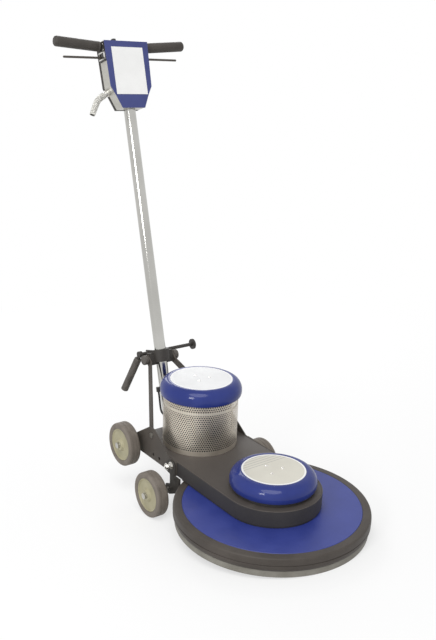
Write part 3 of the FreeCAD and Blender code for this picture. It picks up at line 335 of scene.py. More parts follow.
# ---- Bumper ring ----
# A moulded grey rubber ring pressed over the pan's rim: a rounded crown, a groove round its middle
# and a straight lower band.
RING_RADIUS = 0.285
RING_INNER = PAN_RADIUS + 0.0003
RING_LOW = 0.0823
bumper_rubber = grained_finish("bumper_rubber", (0.048, 0.041, 0.036, 1), (0.074, 0.064, 0.056, 1), 0.48,
                               fine=700.0, broad=9.0, share=0.7, bump=0.12, specular=0.2)
ring_outline = ([(RING_INNER, PAN_TOP - 0.001), (RING_INNER + 0.001, PAN_TOP)]
                + arc(RING_RADIUS - 0.0062, PAN_TOP - 0.0055, 0.0055, 88, 8, 8)
                + [(RING_RADIUS, 0.1095), (RING_RADIUS, 0.1010), (RING_RADIUS - 0.0022, 0.0998),
                   (RING_RADIUS - 0.0022, 0.0984), (RING_RADIUS - 0.0004, 0.0972),
                   (RING_RADIUS - 0.0004, 0.0900), (RING_RADIUS - 0.0016, 0.0868),
                   (RING_RADIUS - 0.0034, RING_LOW + 0.0012), (RING_RADIUS - 0.0046, RING_LOW),
                   (RING_INNER, RING_LOW)])
finish_piece(spun(ring_outline, 180), "bumper_ring_moulding", bumper_rubber, "chassis", machine,
             ("bumper_ring",), soften=28)

# ---- Skirt lip ----
# A paler felt-backed rubber skirt under the bumper, gripped against the pan's wall. It closes the gap
# to the floor and is scuffed all round.
SKIRT_RADIUS = 0.2795
SKIRT_LOW = 0.062
SKIRT_HIGH = 0.082
SKIRT_ROUND = 0.003
skirt_rubber = grained_finish("skirt_rubber", (0.150, 0.140, 0.118, 1), (0.215, 0.205, 0.178, 1), 0.62,
                              fine=600.0, broad=22.0, share=0.65, bump=0.2)
skirt_edge = SKIRT_RADIUS - SKIRT_ROUND
skirt_outline = ([(RING_INNER, SKIRT_LOW)]
                 + arc(skirt_edge, SKIRT_LOW + SKIRT_ROUND, SKIRT_ROUND, -90, 0, 6)
                 + arc(skirt_edge, SKIRT_HIGH - SKIRT_ROUND, SKIRT_ROUND, 0, 90, 6)
                 + [(RING_INNER, SKIRT_HIGH)])
finish_piece(spun(skirt_outline, 180), "skirt_lip_moulding", skirt_rubber, "chassis", machine,
             ("skirt_lip",))

# ---- Pad driver, spindle, belt drive and motor ----
# A moulded plastic disc with a hooked face that holds the pad, on a steel spindle in an iron housing.
# A rubber belt drives it from the motor, whose iron parts and plastic fan stand inside the cover.
driver_plastic = grained_finish("driver_plastic", (0.028, 0.028, 0.030, 1), (0.045, 0.045, 0.047, 1), 0.5,
                                fine=500.0, bump=0.15)
hooked_face = grained_finish("hooked_face", (0.30, 0.30, 0.28, 1), (0.42, 0.42, 0.40, 1), 0.95,
                             fine=1400.0, share=0.2, bump=0.9, depth=0.001)
machined_steel = grained_finish("machined_steel", (0.42, 0.41, 0.38, 1), (0.56, 0.55, 0.51, 1), 0.34,
                                metallic=1.0, fine=1200.0, share=0.6, bump=0.08)
cast_iron = grained_finish("cast_iron", (0.030, 0.030, 0.030, 1), (0.052, 0.051, 0.049, 1), 0.7,
                           metallic=0.2, fine=500.0, bump=0.5, depth=0.0005)
drive_alloy = grained_finish("drive_alloy", (0.40, 0.40, 0.39, 1), (0.52, 0.52, 0.50, 1), 0.42,
                             metallic=1.0, fine=800.0, bump=0.15)
belt_rubber = grained_finish("belt_rubber", (0.012, 0.012, 0.012, 1), (0.022, 0.022, 0.022, 1), 0.7,
                             fine=900.0, bump=0.2)
dress(driver_plastic, "pad_driver", "cooling_fan")
dress(hooked_face, "driver_grip_face")
dress(machined_steel, "spindle", "spindle_bearings", "clamp_pads")
dress(cast_iron, "spindle_housing", "motor_pulley", "motor_stator", "motor_rotor", "motor_end_bells")
dress(drive_alloy, "driven_pulley")
dress(belt_rubber, "drive_belt")

# ---- Chassis, belt guard and tail ----
# Folded and welded sheet steel in a fine textured powder coat, warm dark grey where light falls on
# it. The guard's upward faces get a paler colour, painted light for its lit top.
COAT_GRAIN = {"fine": 1500.0, "broad": 11.0, "share": 0.45, "bump": 0.35, "depth": 0.00035}
powder_coat = grained_finish("powder_coat", (0.048, 0.041, 0.035, 1), (0.080, 0.069, 0.059, 1), 0.58,
                             specular=0.4, **COAT_GRAIN)
# Its paler up-facing colour is painted light on the guard's top.
guard_coat = grained_finish("guard_coat", (0.028, 0.026, 0.026, 1), (0.043, 0.040, 0.039, 1), 0.58,
                            specular=0.35, painted_top_light=(0.066, 0.057, 0.051, 1), **COAT_GRAIN)
black_coat = grained_finish("black_coat", (0.026, 0.023, 0.021, 1), (0.048, 0.043, 0.038, 1), 0.55,
                            specular=0.4, **COAT_GRAIN)
for sheet_node, coat_finish, easing in (
        ("belt_guard", guard_coat, 0.0016), ("side_plates", powder_coat, 0.0006),
        ("wheel_brackets", black_coat, 0.0010), ("tail_crossmember", powder_coat, 0.0008),
        ("chassis_plate", black_coat, 0.0006)):
    softened(sheet_node, coat_finish, "chassis", easing)

# ---- Guard rim ----
# The guard's top sheet is rolled over its side wall: a slim bead that runs up one side, round the nose
# and back along the other, and a second bead where the neck meets the top.
GUARD_HALF = 0.146
GUARD_TOP = 0.1725
GUARD_NOSE_Y = 0.005
GUARD_BEAD_REAR = 0.500
BEAD_RADIUS = 0.0017
BEAD_SIDES = 10
BEAD_INSET = 0.0016
BEAD_SINK = 0.0004
NOSE_STEPS = 48
bead_line = [Vector((-GUARD_HALF + BEAD_INSET, GUARD_BEAD_REAR, GUARD_TOP - BEAD_SINK))]
for bead_step in range(NOSE_STEPS + 1):
    bead_turn = math.pi * (1 + bead_step / NOSE_STEPS)
    bead_line.append(Vector(((GUARD_HALF - BEAD_INSET) * math.cos(bead_turn),
                             GUARD_NOSE_Y + (GUARD_HALF - BEAD_INSET) * math.sin(bead_turn),
                             GUARD_TOP - BEAD_SINK)))
bead_line.append(Vector((GUARD_HALF - BEAD_INSET, GUARD_BEAD_REAR, GUARD_TOP - BEAD_SINK)))
bead = bmesh.new()
bead_rings = []
for number, point in enumerate(bead_line):
    ahead = (bead_line[min(number + 1, len(bead_line) - 1)] - bead_line[max(number - 1, 0)]).normalized()
    side_way = ahead.cross(Vector((0, 0, 1)))
    bead_rings.append([bead.verts.new(point + BEAD_RADIUS * (
        side_way * math.cos(math.tau * k / BEAD_SIDES) + Vector((0, 0, math.sin(math.tau * k / BEAD_SIDES)))))
        for k in range(BEAD_SIDES)])
for ring_one, ring_two in zip(bead_rings, bead_rings[1:]):
    for k in range(BEAD_SIDES):
        bead.faces.new((ring_one[k], ring_one[k - 1], ring_two[k - 1], ring_two[k]))
bead.faces.new(bead_rings[0])
bead.faces.new(bead_rings[-1][::-1])
bmesh.ops.recalc_face_normals(bead, faces=bead.faces)
# The rolled bead takes the paler powder coat, a painted highlight along the guard's edge.
finish_piece(bead, "guard_rim_bead", powder_coat, "chassis", machine)
NECK_RADIUS = 0.113
NECK_BEAD_RADIUS = 0.0014
neck_bead_outline = arc(NECK_RADIUS + 0.0006, GUARD_TOP + 0.0012, NECK_BEAD_RADIUS, -170, 180, 12)
finish_piece(spun(neck_bead_outline, 120), "guard_neck_bead", guard_coat, "chassis", machine)

# ---- Driver cap ----
# A pressed steel cap in glossy blue enamel: turned-in lower edge, rounded shoulder and a flat recess
# for its printed disc.
CAP_RADIUS = 0.126
CAP_LOW = 0.1835
CAP_TOP = 0.2285
CAP_NECK = 0.1133
CAP_SHOULDER = 0.0315
DISC_RADIUS = 0.0925
DISC_SINK = 0.0012
cap_enamel = grained_finish("cap_enamel", (0.018, 0.030, 0.165, 1), (0.024, 0.038, 0.190, 1), 0.34,
                            fine=420.0, share=0.9, bump=0.03, depth=0.0002, coat=0.4, specular=0.05)


def pressed_cap(radius, low, top, neck, recess, rise):
    """A pressed cap, spun from its recess over a shoulder of a given rise and round the turned-in edge."""
    flat = recess + 0.003
    inner = radius - 0.004
    reach = radius - flat
    shoulder = [(flat + reach * math.sin(math.radians(angle)),
                 top - rise + rise * math.cos(math.radians(angle))) for angle in range(0, 91, 6)]
    outline = ([(0, top - DISC_SINK), (recess, top - DISC_SINK), (recess + 0.0004, top - 0.0003)] + shoulder
               + [(radius - 0.0004, low + 0.006), (radius - 0.0022, low + 0.0012), (inner, low),
                  (neck, low), (neck, low + 0.003), (inner, low + 0.0035),
                  (inner, top - rise), (flat, top - 0.005), (0, top - 0.005)])
    return spun(outline, 144, closed=False)


finish_piece(pressed_cap(CAP_RADIUS, CAP_LOW, CAP_TOP, CAP_NECK, DISC_RADIUS, CAP_SHOULDER),
             "driver_cap_pressing", cap_enamel, "chassis", machine, ("driver_cap",))

# ---- Motor cover ----
# Perforated sheet steel rolled into a drum: staggered round holes, with plain margins at both ends and a
# stay band close behind the holes, painted pale to show the highlight seen through them.
MOTOR_ALONG = 0.3625
MOTOR_PLACE = machine @ Matrix.Translation((0, MOTOR_ALONG, 0))
COVER_RADIUS = 0.1180
COVER_SHEET = 0.0012
COVER_LOW = 0.1728
COVER_HIGH = 0.3500
HOLES_ROUND = 103
HOLE_ROWS = 24
MARGIN_LOW = 0.0145
MARGIN_HIGH = 0.0085
HOLE_RADIUS = 0.00255
CELL_WELD = 0.0003
BAND_OVERLAP = 0.0004
BAND_PROUD = 0.0001
cover_steel = grained_finish("cover_steel", (0.60, 0.54, 0.455, 1), (0.73, 0.665, 0.57, 1), 0.37,
                             metallic=0.85, fine=900.0, broad=12.0, share=0.8, bump=0.05, rough_spread=0.05)


def perforated_cell(bm, turn, height, pitch, rise):
    """A cell of sheet round one hole: eight faces between the hole's edge and the cell's."""
    hole = bmesh.ops.create_circle(bm, segments=8, radius=HOLE_RADIUS)["verts"]
    to_corner = 1.2  # takes the rim's points out to a square's corners and the middles of its sides
    rim = bmesh.ops.create_circle(bm, segments=8, radius=1)["verts"]
    for vert in rim:
        vert.co.x = round(vert.co.x * to_corner) * pitch / 2
        vert.co.y = round(vert.co.y * to_corner) * rise / 2
    bmesh.ops.bridge_loops(bm, edges=list({edge for vert in hole + rim for edge in vert.link_edges}))
    bmesh.ops.transform(bm, verts=hole + rim, matrix=Matrix.Rotation(turn, 4, "Z") @ Matrix.Translation(
        (0, -COVER_RADIUS, height)) @ Matrix.Rotation(math.radians(90), 4, "X"))


def perforated_drum():
    """One cell of each row, every other row set off by half a pitch, spun round the drum."""
    step = math.tau / HOLES_ROUND
    pitch = 2 * COVER_RADIUS * math.tan(step / 2)
    rise = (COVER_HIGH - COVER_LOW - MARGIN_LOW - MARGIN_HIGH) / HOLE_ROWS
    bm = bmesh.new()
    for row in range(HOLE_ROWS):
        perforated_cell(bm, step / 2 * (row % 2), COVER_LOW + MARGIN_LOW + (row + 0.5) * rise, pitch, rise)
    bmesh.ops.spin(bm, geom=bm.verts[:] + bm.edges[:] + bm.faces[:], cent=(0, 0, 0), axis=(0, 0, 1),
                   angle=math.tau, steps=HOLES_ROUND, use_duplicate=True)
    bmesh.ops.remove_doubles(bm, verts=bm.verts, dist=CELL_WELD)
    bmesh.ops.recalc_face_normals(bm, faces=bm.faces)
    return bm


def drum_band(inner, outer, low, high):
    """A plain hoop of sheet, with as many sides as the drum has holes round it."""
    return spun([(inner, low), (outer, low), (outer, high), (inner, high)], HOLES_ROUND)


finish_piece(perforated_drum(), "motor_cover_perforated", cover_steel, "chassis", MOTOR_PLACE,
             ("motor_cover",))
for band_name, band_low, band_high in (
        ("lower", COVER_LOW, COVER_LOW + MARGIN_LOW + BAND_OVERLAP),
        ("upper", COVER_HIGH - MARGIN_HIGH - BAND_OVERLAP, COVER_HIGH)):
    finish_piece(drum_band(COVER_RADIUS - COVER_SHEET, COVER_RADIUS + BAND_PROUD, band_low, band_high),
                 f"motor_cover_{band_name}_margin", cover_steel, "chassis", MOTOR_PLACE)
STAY_LOW, STAY_HIGH = 0.3062, 0.3142
STAY_INNER, STAY_OUTER = COVER_RADIUS - 0.0034, COVER_RADIUS - 0.0016
# Pale, nearly non-metal paint: the band itself and a painted highlight seen through the holes.
stay_band_highlight_paint = grained_finish("stay_band_highlight_paint", (0.62, 0.60, 0.53, 1), (0.74, 0.72, 0.65, 1), 0.5, metallic=0.1,
                            fine=800.0, bump=0.05)
finish_piece(drum_band(STAY_INNER, STAY_OUTER, STAY_LOW, STAY_HIGH), "motor_cover_stay_band", stay_band_highlight_paint,
             "chassis", MOTOR_PLACE)

# ---- Motor cap ----
# A deeper pressing of the same blue enamelled steel, pushed over the top of the perforated cover,
# with a recess for its plain white disc.
MOTOR_CAP_RADIUS = 0.1285
MOTOR_CAP_LOW = 0.337
MOTOR_CAP_TOP = 0.385
MOTOR_CAP_NECK = COVER_RADIUS + 0.0003
MOTOR_CAP_SHOULDER = 0.033
MOTOR_DISC_RADIUS = 0.0975
finish_piece(pressed_cap(MOTOR_CAP_RADIUS, MOTOR_CAP_LOW, MOTOR_CAP_TOP, MOTOR_CAP_NECK, MOTOR_DISC_RADIUS,
                         MOTOR_CAP_SHOULDER),
             "motor_cap_pressing", cap_enamel, "chassis", MOTOR_PLACE, ("motor_cap",))

# ---- Cap discs ----
# Printed aluminium discs let into both caps. The front one has a white rim round a warm grey field
# with fine ruled lines; the motor's is plain white.
FRONT_RIM_START = 0.0875
MOTOR_RIM_START = 0.0930
RIM_EDGE = 0.0004
RULED_FROM, RULED_WHOLE = 0.036, 0.037
RULE_INK = (0.36, 0.355, 0.33, 1)
FIELD_SHADE = 0.94


def printed_disc(name, field, rim, rim_start, ruled, centre):
    """A disc whose rim colour starts at a radius from its centre, and whose field may be ruled."""
    material = grained_finish(name, field, tuple(FIELD_SHADE * part for part in field[:3]) + (1,), 0.46,
                              fine=700.0, share=0.8, bump=0.03, specular=0.25)
    nodes = material.node_tree.nodes
    place, shift = nodes.new("ShaderNodeTexCoord"), nodes.new("ShaderNodeMapping")
    set_sockets(shift, Location=-Vector(centre))
    length = nodes.new("ShaderNodeVectorMath")
    length.operation = "LENGTH"
    edge = nodes.new("ShaderNodeMapRange")
    set_sockets(edge, From_Min=rim_start - RIM_EDGE, From_Max=rim_start + RIM_EDGE)
    rim_mix = nodes.new("ShaderNodeMix")
    rim_mix.data_type = "RGBA"
    set_sockets(rim_mix, B=rim)
    join(place, "Object", shift, "Vector")
    join(shift, "Vector", length, 0)
    join(length, "Value", edge, "Value")
    join(edge, "Result", rim_mix, "Factor")
    inner = nodes["tint"]
    if ruled:
        rules = nodes.new("ShaderNodeTexWave")
        rules.bands_direction = "Y"
        set_sockets(rules, Scale=28.0)
        lines = nodes.new("ShaderNodeMapRange")
        set_sockets(lines, From_Min=0.86, From_Max=0.97)
        half = nodes.new("ShaderNodeSeparateXYZ")
        back = nodes.new("ShaderNodeMapRange")
        set_sockets(back, From_Min=RULED_FROM, From_Max=RULED_WHOLE)
        both = nodes.new("ShaderNodeMath")
        both.operation = "MULTIPLY"
        ink = nodes.new("ShaderNodeMix")
        ink.data_type = "RGBA"
        set_sockets(ink, B=RULE_INK)
        join(shift, "Vector", rules, "Vector")
        join(rules, "Fac", lines, "Value")
        join(shift, "Vector", half, "Vector")
        join(half, "Y", back, "Value")
        join(lines, "Result", both, 0)
        join(back, "Result", both, 1)
        join(both, "Value", ink, "Factor")
        join(inner, "Result", ink, "A")
        inner = ink
    join(inner, "Result", rim_mix, "A")
    join(rim_mix, "Result", nodes["Principled BSDF"], "Base Color")
    return material


def disc_skin(radius, top):
    """A thin disc in its recess, with the edge of its face eased."""
    return spun([(0, top - DISC_SINK), (radius, top - DISC_SINK), (radius, top - 0.0003),
                 (radius - 0.0004, top), (0, top)], 144, closed=False)


front_print = printed_disc("front_print", (0.60, 0.58, 0.51, 1), (0.80, 0.80, 0.79, 1),
                           FRONT_RIM_START, True, machine @ Vector((0, 0, CAP_TOP)))
motor_print = printed_disc("motor_print", (0.71, 0.715, 0.72, 1), (0.78, 0.78, 0.78, 1),
                           MOTOR_RIM_START, False, MOTOR_PLACE @ Vector((0, 0, MOTOR_CAP_TOP)))
finish_piece(disc_skin(DISC_RADIUS, CAP_TOP), "front_disc", front_print, "chassis", machine, ("cap_discs",))
finish_piece(disc_skin(MOTOR_DISC_RADIUS, MOTOR_CAP_TOP), "motor_disc", motor_print, "chassis", MOTOR_PLACE,
             ("cap_discs",))

# ---- Disc screws ----
# Three small round-headed steel screws with a cross hold each disc, in a ring near its middle.
# Each head is a spun dome with two thin bars for its cross.
SCREW_RING = 0.027
SCREW_HEAD = 0.0045
SCREW_RISE = 0.0010
SCREW_TURN = 100
DOME_EDGE = 0.35


def add_part(whole, part, place):
    """Set a finished part into a larger bmesh."""
    bmesh.ops.transform(part, matrix=place, verts=part.verts)
    carrier = bpy.data.meshes.new("carrier")
    part.to_mesh(carrier)
    part.free()
    whole.from_mesh(carrier)
    bpy.data.meshes.remove(carrier)


def cross_screw(radius, rise):
    """A low domed head on z = 0, with its cross drawn by two low bars."""
    curve = [math.radians(turn) for turn in range(15, 91, 15)]
    dome_outline = [(radius * math.sin(turn), rise * (DOME_EDGE + (1 - DOME_EDGE) * math.cos(turn)))
                    for turn in curve]
    dome = spun([(0, rise)] + dome_outline + [(radius, 0), (0, 0)], 24, closed=False)
    for turn in (0, 90):
        bmesh.ops.create_cube(dome, size=1, matrix=Matrix.Translation((0, 0, rise)) @ Matrix.Rotation(
            math.radians(turn), 4, "Z") @ Matrix.Diagonal((radius * 1.15, radius * 0.22, rise * 0.12, 1)))
    return dome


bright_steel = grained_finish("bright_steel", (0.60, 0.585, 0.55, 1), (0.74, 0.73, 0.70, 1), 0.24,
                              metallic=1.0, fine=1000.0, share=0.7, bump=0.05)
screws = bmesh.new()
for level, along in ((CAP_TOP, 0), (MOTOR_CAP_TOP, MOTOR_ALONG)):
    for number in range(3):
        turn = math.radians(120 * number + SCREW_TURN)
        add_part(screws, cross_screw(SCREW_HEAD, SCREW_RISE), Matrix.Translation((
            SCREW_RING * math.cos(turn), along + SCREW_RING * math.sin(turn), level - 0.0001)))
finish_piece(screws, "disc_screw_heads", bright_steel, "chassis", machine, ("disc_screws",))

# ---- Bracket bolts ----
# Zinc-plated hexagon bolts with plain washers hold the wheel brackets to the side flanges, two on
# each side, each stopped at its own turn.
BRACKET_FACE = 0.1549
BOLT_PLACES = ((0.315, 0.142), (0.292, 0.156))
BOLT_HEAD = {"across": 0.0078, "height": 0.005, "washer": 0.0118, "washer_height": 0.0015}
BOLT_TURN, BOLT_TURN_ALONG = 17, 60
FACING_OUT = {sign: Matrix.Rotation(math.radians(90 * sign), 4, "Y") for sign in (-1, 1)}


def hexagon_head(across, height, washer, washer_height):
    """A washer on z = 0 and a hexagon head with chamfered corners on it."""
    bm = bmesh.new()
    bmesh.ops.create_cone(bm, cap_ends=True, segments=40, radius1=washer, radius2=washer, depth=washer_height,
                          matrix=Matrix.Translation((0, 0, washer_height / 2)))
    top = bmesh.ops.create_cone(bm, cap_ends=True, segments=6, radius1=across, radius2=across, depth=height,
                                matrix=Matrix.Translation((0, 0, washer_height + height / 2)))["verts"]
    crown = [edge for edge in {edge for vert in top for edge in vert.link_edges}
             if all(vert.co.z > washer_height + height * 0.9 for vert in edge.verts)]
    bmesh.ops.bevel(bm, geom=crown, offset=height * 0.16, segments=2, profile=0.5, affect="EDGES",
                    material=-1)
    return bm


bolts = bmesh.new()
for sign in (-1, 1):
    for along, up in BOLT_PLACES:
        add_part(bolts, hexagon_head(**BOLT_HEAD),
                 Matrix.Translation((sign * BRACKET_FACE, along, up)) @ FACING_OUT[sign]
                 @ Matrix.Rotation(BOLT_TURN + BOLT_TURN_ALONG * along, 4, "Z"))
finish_piece(bolts, "bracket_bolt_heads", bright_steel, "chassis", machine, ("bracket_bolts",), soften=25)

# ---- Wheels ----
# Grey rubber tyres with two fine grooves, on moulded grey-green hubs with a raised rim, a dished web
# and a boss. A nut and washer hold each on its stub axle.
WHEEL_RADIUS = 0.070
WHEEL_WIDTH = 0.040
HUB_RADIUS = 0.0515
AXLE_RADIUS = 0.00635
TYRE_ROUND = 0.0075
TYRE_GROOVE = 0.0012
AXLE_NUT = {"across": 0.0092, "height": 0.0050, "washer": 0.0100, "washer_height": 0.0016}
NUT_STAND_OFF = 0.0023
SIDES = (("left", 1), ("right", -1))
WHEEL_FACES = (("front", 0.233), ("rear", 0.208))
tyre_rubber = grained_finish("tyre_rubber", (0.118, 0.100, 0.082, 1), (0.178, 0.154, 0.130, 1), 0.66,
                             fine=650.0, broad=30.0, share=0.6, bump=0.2)
hub_plastic = grained_finish("hub_plastic", (0.300, 0.277, 0.180, 1), (0.380, 0.352, 0.235, 1), 0.5,
                             fine=800.0, broad=24.0, share=0.6, bump=0.12, specular=0.25)
tyre_outline = ([(HUB_RADIUS + 0.0006, 0.003), (0.0555, 0.0012), (0.0600, 0.0004)]
                + arc(WHEEL_RADIUS - TYRE_ROUND, TYRE_ROUND, TYRE_ROUND, -80, -8, 6)
                + [(WHEEL_RADIUS, 0.0105), (WHEEL_RADIUS, 0.0125), (WHEEL_RADIUS - TYRE_GROOVE, 0.0132),
                   (WHEEL_RADIUS - TYRE_GROOVE, 0.0142), (WHEEL_RADIUS, 0.0149), (WHEEL_RADIUS, 0.0251),
                   (WHEEL_RADIUS - TYRE_GROOVE, 0.0258), (WHEEL_RADIUS - TYRE_GROOVE, 0.0268),
                   (WHEEL_RADIUS, 0.0275), (WHEEL_RADIUS, 0.0295)]
                + arc(WHEEL_RADIUS - TYRE_ROUND, WHEEL_WIDTH - TYRE_ROUND, TYRE_ROUND, 8, 80, 6)
                + [(0.0600, WHEEL_WIDTH - 0.0004), (0.0555, WHEEL_WIDTH - 0.0012),
                   (HUB_RADIUS + 0.0006, WHEEL_WIDTH - 0.003)])
hub_outline = [(AXLE_RADIUS + 0.0001, -0.002), (0.0150, -0.002), (0.0160, -0.001), (0.0175, 0.008),
               (0.0440, 0.0095), (0.0475, 0.0042), (HUB_RADIUS, 0.0036), (HUB_RADIUS, WHEEL_WIDTH - 0.0036),
               (0.0498, WHEEL_WIDTH - 0.0026), (0.0478, WHEEL_WIDTH - 0.0030),
               (0.0462, WHEEL_WIDTH - 0.0056), (0.0300, WHEEL_WIDTH - 0.0070),
               (0.0210, WHEEL_WIDTH - 0.0064), (0.0185, WHEEL_WIDTH - 0.0040),
               (0.0165, WHEEL_WIDTH + 0.0006), (0.0150, WHEEL_WIDTH + 0.0018),
               (AXLE_RADIUS + 0.0001, WHEEL_WIDTH + 0.0018)]
nuts = bmesh.new()
for end, outer in WHEEL_FACES:
    for side, sign in SIDES:
        body = f"wheel_{end}_{side}"
        centre = machine.inverted() @ Vector(joints[body + "_roll"]["pos_m"])
        spot = (machine @ Matrix.Translation((sign * (outer - WHEEL_WIDTH), centre.y, centre.z))
                @ FACING_OUT[sign])
        finish_piece(spun(tyre_outline, 96), f"{body}_tyre", tyre_rubber, body, spot, (f"tyre_{end}_{side}",),
                     soften=40)
        finish_piece(spun(hub_outline, 96), f"{body}_hub", hub_plastic, body, spot, (f"hub_{end}_{side}",),
                     soften=30)
        add_part(nuts, hexagon_head(**AXLE_NUT),
                 Matrix.Translation((sign * (outer + NUT_STAND_OFF), centre.y, centre.z))
                 @ FACING_OUT[sign])
finish_piece(nuts, "axle_nuts", bright_steel, "chassis", machine, soften=25)
dress(machined_steel, "wheel_axles", "pivot_pins", "handle_foot")

# ---- Handle tube ----
# Chrome-plated steel tube, 38 mm across. It runs straight from the foot, where the handle tilts, up
# into the head.
TUBE_RADIUS = 0.01905
TUBE_LOW = 0.022
TUBE_HIGH = 1.190
TUBE_WALL = 0.002
TUBE_EASE = 0.0004
chrome_plate = grained_finish("chrome_plate", (0.46, 0.455, 0.43, 1), (0.53, 0.525, 0.50, 1), 0.11,
                              metallic=1.0, fine=300.0, broad=6.0, share=0.9, bump=0.02, rough_spread=0.04)
tube_outline = [(TUBE_RADIUS - TUBE_WALL, TUBE_LOW), (TUBE_RADIUS - TUBE_EASE, TUBE_LOW),
                (TUBE_RADIUS, TUBE_LOW + TUBE_EASE), (TUBE_RADIUS, TUBE_HIGH),
                (TUBE_RADIUS - TUBE_WALL, TUBE_HIGH)]
finish_piece(spun(tube_outline, 64), "handle_tube_plated", chrome_plate, "handle", handle, ("handle_tube",))

# ---- Brace bars, collar, clamp rod and lever ----
# Two powder-coated flat steel bars rise from the tail to a black collar that slides on the tube.
# A lever with a ribbed rubber grip clamps its rod, and a knurled knob covers each bolt.
COLLAR_PIVOT = (0.007, 0.250)
ROD_AT = (0.033, 0.268)
softened("brace_bars", powder_coat, "brace", 0.0009)
softened("clamp_collar", black_coat, "brace", 0.0012)
dress(black_coat, "clamp_rod", "brace_boss_bolts")
ribbed_grip = grained_finish("ribbed_grip", (0.058, 0.051, 0.045, 1), (0.098, 0.087, 0.077, 1), 0.6,
                             fine=1100.0, broad=30.0, share=0.5, bump=0.4)


KNOB_RADIUS = 0.0158
KNOB_LOW, KNOB_HIGH = 0.0002, 0.0160
KNOB_RIBS = 22
KNOB_ACROSS = 0.0498
KNURL_SHARE = 0.93


def knurled_knob(radius, low, high, ribs):
    """A round knob on +Z with ribs down its side and eased ends."""
    bm = bmesh.new()
    bmesh.ops.create_cone(bm, cap_ends=True, segments=ribs * 2, radius1=radius, radius2=radius,
                          depth=high - low, matrix=Matrix.Translation((0, 0, (low + high) / 2)))
    for number, vert in enumerate(sorted(bm.verts, key=lambda v: math.atan2(v.co.y, v.co.x))):
        if (number // 2) % 2:
            vert.co.x *= KNURL_SHARE
            vert.co.y *= KNURL_SHARE
    ends = [edge for edge in bm.edges if abs(edge.verts[0].co.z - edge.verts[1].co.z) < 0.0001]
    bmesh.ops.bevel(bm, geom=ends, offset=0.0012, segments=2, profile=0.5, affect="EDGES", material=-1)
    return bm


for side, sign in SIDES:
    finish_piece(knurled_knob(KNOB_RADIUS, KNOB_LOW, KNOB_HIGH, KNOB_RIBS), f"brace_knob_{side}",
                 ribbed_grip, "brace",
                 handle @ Matrix.Translation((sign * KNOB_ACROSS, *COLLAR_PIVOT))
                 @ FACING_OUT[sign],
                 ("brace_boss_bolts",), soften=50)

LEVER_DOWN = math.radians(33.4)
LEVER_SPLAY = math.radians(15)
LEVER_REACH = 0.142
LEVER_ACROSS = -0.060
RIB_COUNT = 22
RIB_RADIUS, RIB_FOOT = 0.0125, 0.0114
lever_place = (handle @ Matrix.Translation((LEVER_ACROSS, *ROD_AT)) @ Matrix.Rotation(LEVER_SPLAY, 4, "Y")
               @ Matrix.Rotation(LEVER_DOWN, 4, "X"))
dress(black_coat, "clamp_lever")
grip_low, grip_high = -LEVER_REACH - 0.004, -LEVER_REACH + 0.126
grip_profile = [(0, grip_low), (0.0095, grip_low)] + arc(0.0095, grip_low + 0.003, 0.003, -90, 0, 4)
rib_pitch = (grip_high - grip_low - 0.008) / RIB_COUNT
for rib in range(RIB_COUNT):
    base = grip_low + 0.004 + rib * rib_pitch
    grip_profile += [(RIB_RADIUS, base + 0.2 * rib_pitch), (RIB_RADIUS, base + 0.6 * rib_pitch),
                     (RIB_FOOT, base + 0.75 * rib_pitch), (RIB_FOOT, base + 0.95 * rib_pitch)]
grip_profile += [(0.0120, grip_high - 0.002), (0.0105, grip_high), (0.0066, grip_high)]
finish_piece(spun(grip_profile, 40, closed=False), "clamp_lever_grip", ribbed_grip, "clamp_lever",
             lever_place, ("clamp_grip",))

# ---- Handle head ----
# A folded alloy band between a blue front cover and a dark back plate, with a bare white plate on the
# front. It holds the switches, the bar and the cord's gland.
HEAD_LOW = 1.066
HEAD_RISE = 0.209
head_enamel = grained_finish("head_enamel", (0.036, 0.046, 0.165, 1), (0.045, 0.057, 0.192, 1), 0.36,
                             fine=420.0, share=0.9, bump=0.04, depth=0.0003, coat=0.2, specular=0.3)
head_alloy = grained_finish("head_alloy", (0.44, 0.43, 0.39, 1), (0.56, 0.55, 0.51, 1), 0.36,
                            metallic=0.85, fine=1400.0, broad=20.0, share=0.6, bump=0.1)
black_plastic = grained_finish("black_plastic", (0.020, 0.019, 0.018, 1), (0.034, 0.032, 0.030, 1), 0.42,
                               fine=900.0, share=0.5, bump=0.15)
white_print = grained_finish("white_print", (0.82, 0.82, 0.81, 1), (0.78, 0.78, 0.77, 1), 0.35,
                             fine=500.0, share=0.9, bump=0.02)
softened("head_front", head_enamel, "handle", 0.0012)
softened("head_band", head_alloy, "handle", 0.0004)
softened("head_back", black_coat, "handle", 0.0008)
softened("head_plate", white_print, "handle", 0.0003)
dress(black_plastic, "switch_block", "lockout_button", "lead_relief")
dress(bright_steel, "cord_gland")

